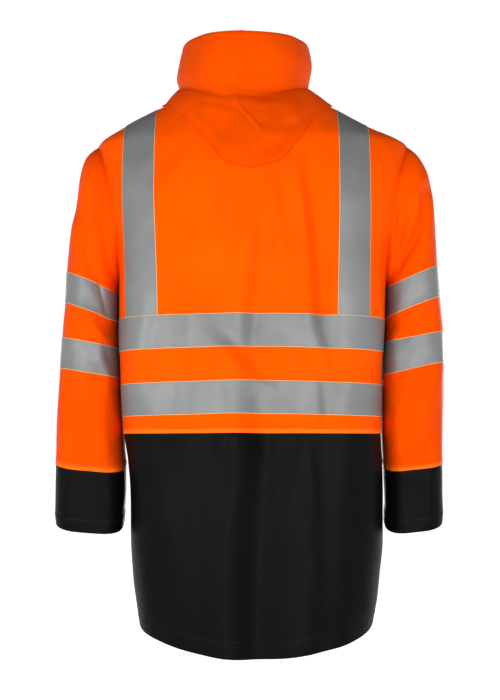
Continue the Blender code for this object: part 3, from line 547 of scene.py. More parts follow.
def column_x(u, a, side, z, face):
    """X of a column between the brace and the middle. a runs from 0 at the underarm to 1 at the top."""
    low, high = brace_end(side, 0), brace_end(side, 1)
    lean = smooth((z - low.z) / (high.z - low.z))
    outer = mix(low.outer, high.outer, lean)
    inner = mix(low.inner, high.inner, lean)
    centre, half, _, _ = section(z, face)
    below = z < ROWS[CHEST_TAPE[1]].z
    outer = np.where(below, np.minimum(outer, side * centre + OUTER_SHARE * half), outer)
    inner = np.where(below, np.minimum(inner, side * centre + INNER_SHARE * half), inner)
    across = side * mix(outer, inner, (u - BRACE_OUTER) / (BRACE_INNER - BRACE_OUTER))
    middle = centre + np.where(face < 0, side * ZIP_HALF, 0.0)
    level = mix(side * inner, middle, (u - BRACE_INNER) / (MIDDLE - BRACE_INNER))
    beside = side * mix(inner, NECK_HALF, (u - BRACE_INNER) / (NECK_COLUMN - BRACE_INNER))
    turn = (u - NECK_COLUMN) / (MIDDLE - NECK_COLUMN) * math.pi / 2
    top = np.where(u <= NECK_COLUMN, beside, middle + (side * NECK_HALF - middle) * np.cos(turn))
    return np.where(u <= BRACE_INNER, across, mix(level, top, smooth(a)))


def lower_place(side, face, u, v):
    z = ROW.z(v)
    tail = np.where(face > 0, ROW.tail(v), 0.0)
    brace = angle_at(column_x(np.maximum(u, BRACE_OUTER), 0, side, z, face), z, side, face)
    angle = np.where(u < BRACE_OUTER, brace * u / BRACE_OUTER, brace)
    low = z - tail * np.sin(angle) ** TAIL_POWER - ROW.droop(v) * np.cos(angle) ** 2
    inner = angle_at(column_x(u, 0, side, low, face), low, side, face)
    return np.where(u >= BRACE_OUTER, inner, angle), low


def yoke_place(side, face, u, v):
    a = np.clip((v - UNDERARM_ROW) / YOKE_ROWS, 0.0, 1.0)
    column = np.maximum(u, BRACE_OUTER)
    top_x = column_x(column, 1, side, 0.0 * u, face)
    top = np.where(column <= NECK_COLUMN, shoulder_z(top_x, side), neck_z(top_x, face))
    z = mix(UNDERARM_Z, top, 1 - (1 - a) ** 1.6)
    angle = angle_at(column_x(column, a, side, z, face), z, side, face)
    angle = np.where((a >= 1) & (column <= NECK_COLUMN), 0.0, angle)
    edge = armhole(side, face, a)
    centre = section(edge[..., 2], face)[0]
    edge_angle = np.arctan2(np.abs(edge[..., 1]), np.abs(edge[..., 0] - centre))
    t = u / BRACE_OUTER
    beside = u < BRACE_OUTER
    return np.where(beside, mix(edge_angle, angle, t), angle), np.where(beside, mix(edge[..., 2], z, t), z)


def body_place(side, face, u, v):
    """Direction and height of the panel points in columns u and rows v."""
    angle, z = lower_place(side, face, u, v)
    yoke_angle, yoke_z = yoke_place(side, face, u, v)
    over = v > UNDERARM_ROW
    return np.where(over, yoke_angle, angle), np.where(over, yoke_z, z)


def body_surface(side, face, u, v):
    """Points of the panels and their outward directions, with the folds in them."""
    angle, z = body_place(side, face, u, v)
    base = level_point(angle, z, side, face)
    normal = body_normal(base, face)
    x, height = base[..., 0], base[..., 2]
    lift = fold_height(x, height, BACK_FOLDS if face > 0 else FRONT_FOLDS) + 0.8 * ripple(x, height, 4 + face)
    fade = smooth(np.abs(base[..., 1]) / 70)
    return base + normal * (fade * lift)[..., None], normal


# ---------------------------------------------------------------- the sleeves' surface


def flat_round(share):
    """Turns a circle's share into that of a section with flatter sides."""
    return np.sign(share) * np.abs(share) ** (2 / SLEEVE_SQUARE)


def sleeve_base(side, turn, s):
    """The sleeve's points on rings s. turn is 0 at its outer side and pi / 2 at its back."""
    ring = Ring(*(curve(s) for curve in SLEEVE[side]))
    c = flat_round(np.cos(turn))
    d = flat_round(np.sin(turn))
    x = mix(ring.in_x, ring.out_x, (1 + c) / 2)
    z = mix(ring.in_z, ring.out_z, (1 + c) / 2) - ring.dip * d
    point = np.stack([side * x, ring.depth * d, z], axis=-1)
    a = 1 - np.abs((turn + math.pi) % (2 * math.pi) - math.pi) / math.pi
    edge = armhole(side, np.where(d >= 0, 1, -1), a)
    near = 1 - (1 - np.clip(s, 0.0, 1.0)) ** 2
    return mix(edge, point, near[..., None])


def sleeve_surface(side, turn, s):
    """Points of a sleeve and their outward directions, with the folds in them."""
    e = 0.02
    base = sleeve_base(side, turn, s)
    around = sleeve_base(side, turn + e, s) - sleeve_base(side, turn - e, s)
    ahead, behind = np.minimum(s + e, LAST_RING), np.maximum(s - e, 0)
    along = sleeve_base(side, turn, ahead) - sleeve_base(side, turn, behind)
    normal = unit(np.cross(along, around) * side)
    panel_normal = body_normal(base, np.where(np.sin(turn) >= 0, 1, -1))
    share = smooth((np.sum(normal * panel_normal, axis=-1) + 0.1) / 0.5) * smooth(1 - s)
    normal = unit(mix(normal, panel_normal, share[..., None]))
    fade = smooth(np.abs(np.sin(turn)) / 0.8) * smooth(s / 0.9)
    x, z = np.abs(base[..., 0]), base[..., 2]
    lift = fade * fold_height(x, z, SLEEVE_FOLDS[side]) + smooth(s) * 0.7 * ripple(x + 30 * turn, z, 9 + side)
    return base + normal * lift[..., None], normal


# ---------------------------------------------------------------- collar, hood and zip


def neck_normal(points, face):
    """Level outward directions round the neck seam."""
    x = points[..., 0] / NECK_HALF**2
    y = points[..., 1] / np.where(face > 0, NECK_DEPTH_BACK, NECK_DEPTH_FRONT) ** 2
    return unit(np.stack([x, y, 0.0 * x], axis=-1))


def collar_surface(side, face, u, w):
    """The collar over neck columns u, from its seam (w = 0) to its top edge (w = 1)."""
    angle, z = body_place(side, face, u, np.full(np.shape(u), float(TOP_ROW)))
    base = level_point(angle, z, side, face)
    points = base * ((1 + 0.02 * w)[..., None] * np.array([1.0, 1.0, 0.0]) + np.array([0.0, 0.0, 1.0]))
    points[..., 2] += COLLAR_HEIGHT * w
    return points, neck_normal(base, face)


def yoke_lift(angle, z, side, face, lift):
    base = level_point(angle, z, side, face)
    return base + body_normal(base, face) * lift


def neck_height(angle, side, face):
    """Height at which the neck seam crosses a direction."""
    low = NECK_BACK_Z if face > 0 else NECK_FRONT_Z
    return float(halve(lambda z: neck_z(level_point(angle, z, side, face)[0], face) > z, low, NECK_Z))


def hood_ring_point(ring, angle, side, face, shift):
    depth, z_far = (ring.back, ring.z_back) if face > 0 else (ring.front, ring.z_front)
    x = side * ring.side * math.cos(angle) + shift * ring.shift
    return np.array([x, face * depth * math.sin(angle), mix(ring.z_side, z_far, math.sin(angle) ** 2)])


def hood_profile(angle, side, face):
    """One column of the hood: from its face edge down, round its lower edge and up to the neck seam."""
    edge_z = float(HOOD_EDGE_Z[face](math.degrees(angle)))
    shift = HOOD_SHIFT if face > 0 else HOOD_SHIFT * math.cos(angle) ** 2
    column = [hood_ring_point(ring, angle, side, face, shift) for ring in HOOD_RINGS]
    nip = column[-1]
    back = math.sin(angle) ** 2.5 if face > 0 else 0.0
    turn = mix(0.5, 1.0, back)
    rim = []
    for line in HOOD_RIM:
        clear = HOOD_CLEAR + line.side + line.back * back
        rim.append(yoke_lift(angle, edge_z + line.rise * turn, side, face, clear))
    out = np.array([side * math.cos(angle), face * math.sin(angle), 0.0])
    out = out * mix(HOOD_BULGE_SIDE, HOOD_BULGE_BACK, back)
    for t in np.arange(1, HOOD_POUCH_ROWS) / HOOD_POUCH_ROWS:
        column.append(mix(nip, rim[0], t) + out * math.sin(math.pi * t))
    column += rim
    top = neck_height(angle, side, face)
    for t in np.arange(HOOD_UNDER_ROWS) / (HOOD_UNDER_ROWS - 0.4):
        z = mix(edge_z + 1.5 * turn, top - 1.5, t)
        column.append(yoke_lift(angle, z, side, face, HOOD_CLEAR + 0.4 * back))
    seam = level_point(angle, top, side, face)
    column.append(seam + neck_normal(seam, face) * 4 * GAP + np.array([0, 0, 5.5]))
    return column


def hood_columns():
    """Directions round the neck, from the left front round the back to the right front."""
    front = [HOOD_FRONT * (1 - i / HOOD_FRONT_COLUMNS) for i in range(HOOD_FRONT_COLUMNS)]
    back = [90 * i / HOOD_BACK_COLUMNS for i in range(HOOD_BACK_COLUMNS)]
    left = [(1, -1, deg) for deg in front] + [(1, 1, deg) for deg in back]
    right = [(-1, 1, deg) for deg in reversed(back)] + [(-1, -1, deg) for deg in reversed(front)]
    return left + [(1, 1, 90.0)] + right


def hood_points():
    """The hood's grid, its columns moved aside at the back to follow the S-shaped centre seam."""
    columns = [hood_profile(math.radians(deg), side, face) for side, face, deg in hood_columns()]
    points = np.array(columns).transpose(1, 0, 2)
    from_middle = np.abs(np.arange(points.shape[1]) - points.shape[1] // 2)
    shift = HOOD_SEAM_X(np.minimum(np.arange(len(points)) / HOOD_OUTER_ROWS, 1.0))
    points[..., 0] += shift[:, None] * smooth(1 - from_middle / 5)
    return points


def refine(points, times, axis):
    """More points along one axis, on a smooth curve through the given ones."""
    points = np.moveaxis(points, axis, 0)
    p = np.concatenate([2 * points[:1] - points[1:2], points, 2 * points[-1:] - points[-2:-1]])
    a = -0.5 * p[:-3] + 1.5 * p[1:-2] - 1.5 * p[2:-1] + 0.5 * p[3:]
    b = p[:-3] - 2.5 * p[1:-2] + 2 * p[2:-1] - 0.5 * p[3:]
    c = 0.5 * (p[2:-1] - p[:-3])
    fine = np.stack([((a * t + b) * t + c) * t + p[1:-2] for t in np.arange(times) / times], axis=1)
    fine = np.concatenate([fine.reshape(-1, *points.shape[1:]), points[-1:]])
    return np.moveaxis(fine, 0, axis)


def grid_normals(points):
    return unit(np.cross(np.gradient(points, axis=0), np.gradient(points, axis=1)))


def zip_base(side, off, v):
    """Points of the front by the zip, off millimetres from the centre line, and their outward directions."""
    side = side * np.ones(np.shape(v))
    row, w = np.minimum(v, TOP_ROW), np.maximum(v - TOP_ROW, 0.0)
    over = (v > TOP_ROW)[..., None]
    lines = []
    for column in (MIDDLE + 0 * row, MIDDLE - 1 + 0 * row):
        low, low_normal = body_surface(side, -1, column, row)
        high, high_normal = collar_surface(side, -1, column, w)
        lines.append((np.where(over, high, low), np.where(over, high_normal, low_normal)))
    (edge, normal), (beside, _) = lines
    along = (off - ZIP_HALF) / np.abs(beside[..., 0] - edge[..., 0])
    return mix(edge, beside, along[..., None]), unit(normal * np.array([0.0, 1.0, 1.0]))


# ---------------------------------------------------------------- meshes


def steps(start, stop, count, fine=""):
    """Evenly spaced values from start to stop, with closer ones near the ends that fine names."""
    values = list(np.linspace(start, stop, count + 1))
    step = (stop - start) / count
    for part in (0.05, 0.12, 0.25, 0.45, 0.7):
        if "a" in fine:
            values.append(start + part * step)
        if "b" in fine:
            values.append(stop - part * step)
    return np.array(sorted(values, reverse=stop < start))


def arc(points, axis):
    """Distance along the grid lines of one axis, from their first point."""
    length = np.linalg.norm(np.diff(points, axis=axis), axis=-1)
    zero = np.zeros_like(np.take(length, [0], axis=axis))
    return np.concatenate([zero, np.cumsum(length, axis=axis)], axis=axis)


def borders(points):
    """Each point's distance to the four borders of its grid."""
    across, down = arc(points, 1), arc(points, 0)
    return {"start": across, "end": across[:, -1:] - across, "bottom": down, "top": down[-1:] - down}


def joined(points, closed):
    """The grid, with its first column once more at its end where it goes all round."""
    return np.concatenate([points, points[:, :1]], axis=1) if closed else points


def pucker(along, seed):
    rng = np.random.default_rng(seed)
    wave = 0.0 * along
    for _ in range(5):
        wave = wave + np.sin(along / rng.uniform(7, 19) * WAVE + rng.uniform(0, WAVE))
    return wave / 5


# How a border is sewn, and the depth of its folded edge.
Edge = namedtuple("Edge", "kind width", defaults=(0.0,))
FELLED, SEWN, TUCKED, RIDGE = Edge("felled"), Edge("sewn"), Edge("tucked"), Edge("ridge")
FACING = Edge("hem", 6.0)


def sized_edge(kind):
    return Edge(kind, getattr(bpy.context.scene.jacket_sizes, kind) / MM)


def edge_lift(far, along, edge):
    """How a border shapes the cloth beside it, by the distance to it: a fold, a line of thread, puckers."""
    kind, width = edge
    if kind == "felled":
        return 0.4 * bell(far - 0.8, 1.6) + 0.3 * pucker(along, 3) * bell(far, 9)
    if kind == "sewn":
        return -0.9 * bell(far, 1.5) + 0.35 * pucker(along, 3) * bell(far, 9)
    if kind == "hem":
        fold = 0.7 * smooth((width - far) / 1.6 + 0.5)
        return fold - 0.55 * bell(far - width, 1.3) + 0.4 * pucker(along, 5) * bell(far - width, 10)
    if kind == "lap":
        fold = 0.7 * smooth((width - far) / 1.4 + 0.5)
        return fold - 0.6 * bell(far - width - 0.8, 1.1) + 0.35 * pucker(along, 7) * bell(far, 12)
    if kind == "tucked":
        return -0.5 * bell(far, 3.0) + 0.35 * pucker(along, 7) * bell(far, 12)
    return 1.3 * bell(far, 2.2)


def round_edge(far):
    near = np.clip(far / RIM_RADIUS, 0.0, 1.0)
    return 0.15 + 0.85 * np.sqrt(1 - (1 - near) ** 2)


def signed_volume(points, faces):
    a, b, c, d = (points[faces[:, k]] for k in range(4))
    return np.sum(a * np.cross(b, c)) + np.sum(a * np.cross(c, d))


def shell(name, points, normals, low, high, closed=False, rounded=(), spread=None):
    """A thin wall between low and high millimetres above a surface. closed joins its last column to its
    first, rounded names the borders where it thins out, and spread holds values that its finish reads."""
    rows, columns = points.shape[:2]
    wide = columns + closed
    count = rows * wide
    path = joined(points, closed)
    edges = borders(path)
    half = np.full((rows, columns), (high - low) / 2)
    for border in rounded:
        half = half * round_edge(edges[border][:, :columns])
    centre = points + normals * (low + high) / 2
    rise = normals * half[..., None]
    spots = np.concatenate([centre - rise, centre + rise]).reshape(-1, 3) * MM
    corner = np.arange(count).reshape(rows, wide)
    quads = np.stack([corner[:-1, :-1], corner[:-1, 1:], corner[1:, 1:], corner[1:, :-1]], axis=-1)
    faces = [quads.reshape(-1, 4) + count, quads.reshape(-1, 4)[:, ::-1]]
    rims = [corner[0], corner[-1][::-1]]
    if not closed:
        rims += [corner[::-1, 0], corner[:, -1]]
    for rim in rims:
        faces.append(np.stack([rim[1:] + count, rim[:-1] + count, rim[:-1], rim[1:]], axis=-1))
    corners = np.concatenate(faces)
    layer, place = corners // count, corners % count
    vertex = layer * rows * columns + place // wide * columns + place % wide % columns
    if signed_volume(spots, vertex) < 0:
        vertex, place = vertex[:, ::-1], place[:, ::-1]
    mesh = bpy.data.meshes.new(name)
    mesh.from_pydata(spots.tolist(), [], vertex.tolist())
    uv = np.stack([arc(path, 1), arc(path, 0)], axis=-1).reshape(-1, 2) * MM
    mesh.uv_layers.new(name="cloth").data.foreach_set("uv", uv[place.reshape(-1)].reshape(-1))
    for key, value in (spread or {}).items():
        attribute = mesh.attributes.new(key, "FLOAT", "POINT")
        attribute.data.foreach_set("value", np.concatenate([value.reshape(-1)] * 2))
    mesh.shade_smooth()
    mesh.set_sharp_from_angle(angle=math.radians(55))
    return mesh


def add_piece(name, mesh):
    obj = bpy.data.objects.new(name, mesh)
    bpy.context.scene.collection.objects.link(obj)
    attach(obj, BODY_NAME)
    return obj


def add_sheet(name, mesh, finish, node):
    mesh.materials.append(look(finish))
    obj = add_piece(name, mesh)
    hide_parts(node)


def panel(name, grid, edges, cloth, node, rounded=(), closed=False):
    """A cloth panel with its borders sewn, lapped or hemmed."""
    points, normals = grid
    far = borders(joined(points, closed))
    lift = 0.0 * far["start"]
    spread = {"seam": lift, "lap": lift}
    for border, edge in edges.items():
        along = far["bottom" if border in ("start", "end") else "start"]
        lift = lift + edge_lift(far[border], along, edge)
        if edge.kind == "lap":
            # The lap band is where the finish paints the folded edge's highlight.
            spread["lap"] = smooth((edge.width - far[border]) / 1.2 + 0.5)
        if edge.kind != "ridge":
            spread["seam"] = np.maximum(spread["seam"], bell(far[border], 9))
    columns = points.shape[1]
    spread = {key: value[:, :columns] for key, value in spread.items()}
    shaped = points + normals * lift[:, :columns, None]
    thick = bpy.context.scene.jacket_sizes.cloth / MM
    mesh = shell(name, shaped, normals, -thick, 0.0, closed, rounded, spread)
    add_sheet(name, mesh, cloth, node)


def band(grid, node, rests_on, closed=False):
    """A reflective band laid on the cloth."""
    points, normals = grid
    far = borders(points)
    rim = np.minimum(far["bottom"], far["top"])
    name = "band_" + node.removeprefix("tape_")
    high = BAND_CLEAR + bpy.context.scene.jacket_sizes.band / MM
    mesh = shell(name, points, normals, BAND_CLEAR, high, closed, ("bottom", "top"), {"rim": rim})
    add_sheet(name, mesh, "reflective band", node)


# ---------------------------------------------------------------- materials


def operation(name):
    return lambda self, other: self.finish.maths(name, self, other)


class Shade:
    """A shader value that takes part in arithmetic."""

    def __init__(self, finish, socket):
        self.finish = finish
        self.socket = socket

    __add__ = __radd__ = operation("ADD")
    __mul__ = __rmul__ = operation("MULTIPLY")
    __pow__ = operation("POWER")


class Finish:
    """One material and the nodes that make it."""

    def __init__(self, name, **constants):
        self.material = bpy.data.materials.new(name)
        self.material.use_nodes = True
        self.tree = self.material.node_tree
        self.shader = self.tree.nodes["Principled BSDF"]
        for socket, value in constants.items():
            self.shader.inputs[socket.replace("_", " ")].default_value = value

    def node(self, kind, settings=None, inputs=None):
        """A node with its settings, then its inputs by name or number, as values or links."""
        made = self.tree.nodes.new(kind)
        for key, value in (settings or {}).items():
            setattr(made, key, value)
        for key, value in (inputs or {}).items():
            self.put(made.inputs[key], value)
        return made

    def put(self, socket, value):
        value = value.socket if isinstance(value, Shade) else value
        if isinstance(value, bpy.types.NodeSocket):
            self.tree.links.new(value, socket)
        else:
            socket.default_value = value

    def feed(self, socket, value):
        self.put(self.shader.inputs[socket], value)

    def maths(self, name, a, b):
        return Shade(self, self.node("ShaderNodeMath", {"operation": name}, {0: a, 1: b}).outputs[0])

    def place(self):
        return self.node("ShaderNodeTexCoord").outputs["Object"]

    def noise(self, scale, detail, rough, tall=1.0):
        """Noise on the piece's own place, its grain longer up and down where tall is under 1."""
        vector = self.place()
        if tall != 1.0:
            settings = {"Vector": vector, "Scale": (1.0, 1.0, tall)}
            vector = self.node("ShaderNodeMapping", None, settings).outputs[0]
        inputs = {"Vector": vector, "Scale": scale, "Detail": detail, "Roughness": rough}
        return Shade(self, self.node("ShaderNodeTexNoise", None, inputs).outputs[0])

    def ramp(self, value, low, high, start=0.0, stop=1.0):
        inputs = {"Value": value, "From Min": low, "From Max": high, "To Min": start, "To Max": stop}
        made = self.node("ShaderNodeMapRange", {"interpolation_type": "SMOOTHSTEP"}, inputs)
        return Shade(self, made.outputs[0])

    def blend(self, factor, a, b):
        return self.node("ShaderNodeMix", {"data_type": "RGBA"}, {0: factor, 6: a, 7: b}).outputs[2]

    def attribute(self, name):
        return Shade(self, self.node("ShaderNodeAttribute", {"attribute_name": name}).outputs["Fac"])

    def bump(self, height, strength, distance):
        inputs = {"Height": height, "Strength": strength, "Distance": distance}
        self.feed("Normal", self.node("ShaderNodeBump", None, inputs).outputs[0])


def rgba(colour, times=1.0):
    return (*(min(c * times, 1.0) for c in colour), 1.0)


def coated_cloth(name, colour, roughness, gloss, tint, lap_highlight):
    """Smooth coated rainwear: a fine pebbled coat over a woven ground, slight wrinkles and puckered seams, a
    fine darker speckle beside the seams and a painted highlight along lapped edges.
    """
    finish = Finish(name, Specular_IOR_Level=gloss, Specular_Tint=rgba(tint))
    patches = finish.noise(9.0, 3.0, 0.55)
    wrinkles = finish.noise(34.0, 3.0, 0.55, 0.45)
    pebble = finish.noise(1500.0, 2.0, 0.6)
    weave = finish.noise(620.0, 1.0, 0.4)
    seam = finish.attribute("seam")
    tone = finish.ramp(patches * 0.7 + wrinkles * 0.3, 0.35, 0.65)
    colours = finish.blend(tone, rgba(colour, 0.90), rgba(colour, 1.06))
    # Darker in a fine speckle within a few millimetres of the sewn borders.
    speckled_by_seams = finish.blend(seam * pebble * 0.4, colours, rgba(colour, 0.72))
    # Painted highlight: the lapped edge's band is blended towards a lighter colour.
    finish.feed("Base Color", finish.blend(finish.attribute("lap") * 0.7, speckled_by_seams, rgba(lap_highlight)))
    dull = finish.ramp(wrinkles * 0.5 + pebble * 0.5, 0.2, 0.8, roughness - 0.05, roughness + 0.07)
    finish.feed("Roughness", dull)
    finish.bump(wrinkles * 0.9 + pebble * 0.05 + weave * 0.04 + seam * wrinkles * 0.4, 0.5, 0.0022)
    return finish.material


def reflective_band(name, colour, edge):
    """Glass-bead tape: matt grey with a faint woven grain and a pale heat-cut edge."""
    finish = Finish(name, Specular_IOR_Level=0.25)
    near = finish.attribute("rim")
    grain = finish.noise(900.0, 1.0, 0.5)
    creases = finish.noise(55.0, 3.0, 0.6)
    tone = finish.ramp(finish.noise(14.0, 3.0, 0.6), 0.3, 0.7)
    grey = finish.blend(tone, rgba(colour, 0.9), rgba(colour, 1.08))
    finish.feed("Base Color", finish.blend(finish.ramp(near, 1.1, 0.5), grey, rgba(edge)))
    finish.feed("Roughness", finish.ramp(grain, 0.3, 0.7, 0.42, 0.56))
    finish.feed("Metallic", finish.ramp(near, 1.2, 2.0, 0.0, 0.2))
    finish.bump(creases * 0.5 + grain * 0.08, 0.4, 0.0015)
    return finish.material


def grained(name, colour, noise, dark, pale, roughness, gloss=0.5, metal=None, bump=None):
    """The finish of a small piece: one grain varies its colour, its roughness and its relief."""
    finish = Finish(name, Specular_IOR_Level=gloss)
    grain = finish.noise(*noise)
    finish.feed("Base Color", finish.blend(grain, rgba(colour, dark), rgba(colour, pale)))
    finish.feed("Roughness", finish.ramp(grain, 0.3, 0.7, *roughness))
    if metal:
        finish.feed("Metallic", finish.ramp(grain, 0.3, 0.7, *metal))
    if bump:
        finish.bump(grain, *bump)
    return finish.material


def thread(name, colour):
    return grained(name, colour, (4200.0, 1.0, 0.5), 0.8, 1.1, (0.55, 0.75), 0.3)


def woven_tape(name, colour):
    return grained(name, colour, (1400.0, 1.0, 0.4, 0.3), 0.7, 1.5, (0.6, 0.8), 0.25, bump=(0.4, 0.0006))


def moulded_teeth(name, colour):
    return grained(name, colour, (800.0, 2.0, 0.5), 0.8, 1.4, (0.3, 0.45))


def dark_metal(name, colour):
    noise = (420.0, 3.0, 0.6, 0.25)
    return grained(name, colour, noise, 0.75, 1.25, (0.28, 0.45), metal=(0.85, 1.0), bump=(0.15, 0.0003))


def look(name):
    """A finish by its name, made once."""
    made = bpy.data.materials.get(name)
    if made:
        return made
    dye = bpy.context.scene.jacket_colours
    makers = {
        "orange cloth": (coated_cloth, dye.orange, 0.53, 0.06, dye.shine, dye.lap),
        # Hood cloth and sleeve cloth are the orange cloth in darker colours that paint the shade on the hood
        # and sleeves.
        "hood cloth": (coated_cloth, dye.hood, 0.56, 0.05, dye.shine, dye.lap),
        "sleeve cloth": (coated_cloth, dye.sleeve, 0.56, 0.05, dye.shine, dye.lap),
        "black cloth": (coated_cloth, dye.black, 0.48, 0.055, (1.0, 1.0, 1.0), dye.black),
        "reflective band": (reflective_band, dye.band, dye.band_edge),
        "pale thread": (thread, dye.pale_thread),
        "dark thread": (thread, dye.dark_thread),
        "orange thread": (thread, dye.orange),
        "zip tape": (woven_tape, dye.zip),
        "zip teeth": (moulded_teeth, dye.zip),
        "zip metal": (dark_metal, dye.metal),
    }
    maker, *values = makers[name]
    return maker(name, *values)


# ---------------------------------------------------------------- grids of the pieces


def body_grid(columns, rows, face):
    """Surface over signed columns (negative on the wearer's right) and rows."""
    u, v = np.meshgrid(columns, rows)
    side = np.where(np.signbit(u), -1, 1)
    return body_surface(side, face, np.abs(u), v)


def half_columns(fine=""):
    """Columns from the side seam to the middle, closer at the seam."""
    outer = steps(0, BRACE_OUTER, SIDE_COLUMNS, "a")
    return np.concatenate([outer, steps(BRACE_OUTER, MIDDLE, INNER_COLUMNS, fine)[1:]])


def back_columns():
    left = half_columns()
    return np.concatenate([left, -left[-2::-1]])


def front_columns(side, fine=""):
    """Columns of one front, which keep their side's sign at zero too."""
    return np.copysign(half_columns(fine), side)


def sleeve_grid(side, rings, turns):
    """Surface of a sleeve over rings and turns, counted in steps round it."""
    turn, ring = np.meshgrid(turns / SLEEVE_TURNS * 2 * math.pi, rings)
    return sleeve_surface(side, turn, ring)


# ---------------------------------------------------------------- geometry nodes


def repeat_tree(name):
    """Sets copies of an object along the edges of a mesh, at an even pitch, each turned along the line."""
    tree = bpy.data.node_groups.new(name, "GeometryNodeTree")
    kinds = {"Geometry": "Geometry", "Piece": "Object", "Pitch": "Float", "Finish": "Material"}
    for title, kind in kinds.items():
        tree.interface.new_socket(name=title, in_out="INPUT", socket_type="NodeSocket" + kind)
    tree.interface.new_socket(name="Geometry", in_out="OUTPUT", socket_type="NodeSocketGeometry")
    add = tree.nodes.new
    start, end = add("NodeGroupInput"), add("NodeGroupOutput")
    curve, points = add("GeometryNodeMeshToCurve"), add("GeometryNodeCurveToPoints")
    points.mode = "LENGTH"
    info, copies = add("GeometryNodeObjectInfo"), add("GeometryNodeInstanceOnPoints")
    real, paint = add("GeometryNodeRealizeInstances"), add("GeometryNodeSetMaterial")
    wires = (
        (start, "Geometry", curve, "Mesh"),
        (curve, "Curve", points, "Curve"),
        (start, "Pitch", points, "Length"),
        (points, "Points", copies, "Points"),
        (points, "Rotation", copies, "Rotation"),
        (start, "Piece", info, "Object"),
        (info, "Geometry", copies, "Instance"),
        (copies, "Instances", real, "Geometry"),
        (real, "Geometry", paint, "Geometry"),
        (start, "Finish", paint, "Material"),
        (paint, "Geometry", end, "Geometry"),
    )
    for source, output, target, into in wires:
        tree.links.new(source.outputs[output], target.inputs[into])
    return tree


def repeated(name, paths, piece, pitch, finish):
    """A mesh of copies of one small piece along polylines, in millimetres."""
    spots, edges = [], []
    for path in paths:
        first = len(spots)
        spots += (path * MM).tolist()
        edges += [(i, i + 1) for i in range(first, len(spots) - 1)]
    rail = bpy.data.meshes.new(name + "_rail")
    rail.from_pydata(spots, edges, [])
    holder = bpy.data.objects.new(name + "_rail", rail)
    bpy.context.scene.collection.objects.link(holder)
    tree = bpy.data.node_groups.get("repeat along a line") or repeat_tree("repeat along a line")
    modifier = holder.modifiers.new("copies", "NODES")
    modifier.node_group = tree
    sockets = {s.name: s.identifier for s in tree.interface.items_tree if s.in_out == "INPUT"}
    for title, value in (("Piece", piece), ("Pitch", pitch), ("Finish", look(finish))):
        modifier[sockets[title]] = value
    graph = bpy.context.evaluated_depsgraph_get()
    mesh = bpy.data.meshes.new_from_object(holder.evaluated_get(graph))
    mesh.name = name
    bpy.data.objects.remove(holder, do_unlink=True)
    mesh.shade_smooth()
    add_piece(name, mesh)


def small_shape(name, extent, bevel, create, **values):
    """One small solid for repeated, from a bmesh primitive scaled to its size in metres."""
    mesh = bpy.data.meshes.new(name)
    maker = bmesh.new()
    create(maker, **values)
    bmesh.ops.scale(maker, vec=extent, verts=maker.verts)
    if bevel:
        bmesh.ops.bevel(maker, geom=list(maker.edges), offset=bevel, segments=1, affect="EDGES")
    maker.to_mesh(mesh)
    maker.free()
    return bpy.data.objects.new(name, mesh)


# ---------------------------------------------------------------- operators


def size_property(name, description, default):
    return FloatProperty(name=name, description=description, default=default, subtype="DISTANCE")


def colour_property(name, description, default):
    return FloatVectorProperty(
        name=name, description=description, default=default, subtype="COLOR", min=0.0, max=1.0
    )


class JacketSizes(bpy.types.PropertyGroup):
    """Sizes of the jacket's finish."""

    cloth: size_property("Cloth", "Thickness of the coated cloth", 0.0011)
    band: size_property("Band", "Thickness of a reflective band", 0.0005)
    hem: size_property("Hem", "Depth of the folded hem", 0.02)
    lap: size_property("Lap", "Depth of the lapped edge over the lower panels", 0.007)
    stitch: size_property("Stitch", "Pitch of the stitching", 0.0034)
    tooth: size_property("Tooth", "Pitch of the zip's teeth", 0.0032)


class JacketColours(bpy.types.PropertyGroup):
    """Colours of the jacket's finish."""

    orange: colour_property("Orange", "Fluorescent cloth", (0.92, 0.083, 0.0))
    # The sleeves' colour is the orange darkened to paint the shade that falls on them.
    sleeve: colour_property("Sleeves", "The sleeves' cloth, darkened to paint shade", (0.82, 0.068, 0.0))
    # The hood's colour is the orange darkened further to paint the shade that falls on it.
    hood: colour_property("Hood", "The hood's cloth, darkened to paint shade", (0.76, 0.064, 0.0))
    # Lap: a lighter orange painted along the lapped edges as their highlight.
    lap: colour_property("Lap", "Lapped edges over the black cloth", (1.0, 0.17, 0.012))
    shine: colour_property("Shine", "Tint of the orange cloth's sheen", (1.0, 0.5, 0.1))
    black: colour_property("Black", "Contrast cloth", (0.0024, 0.0027, 0.0031))
    band: colour_property("Band", "Reflective bands", (0.19, 0.195, 0.195))
    band_edge: colour_property("Band edge", "Pale cut edge of the bands", (0.68, 0.4, 0.17))
    pale_thread: colour_property("Pale thread", "Thread on the bands", (0.24, 0.23, 0.22))
    dark_thread: colour_property("Dark thread", "Thread on the black cloth", (0.015, 0.015, 0.017))
    zip: colour_property("Zip", "Tape and teeth of the zip", (0.012, 0.012, 0.014))
    metal: colour_property("Metal", "Slider and pull", (0.22, 0.22, 0.23))
    ground: colour_property("Ground", "Floor of the stage", (0.9, 0.9, 0.9))


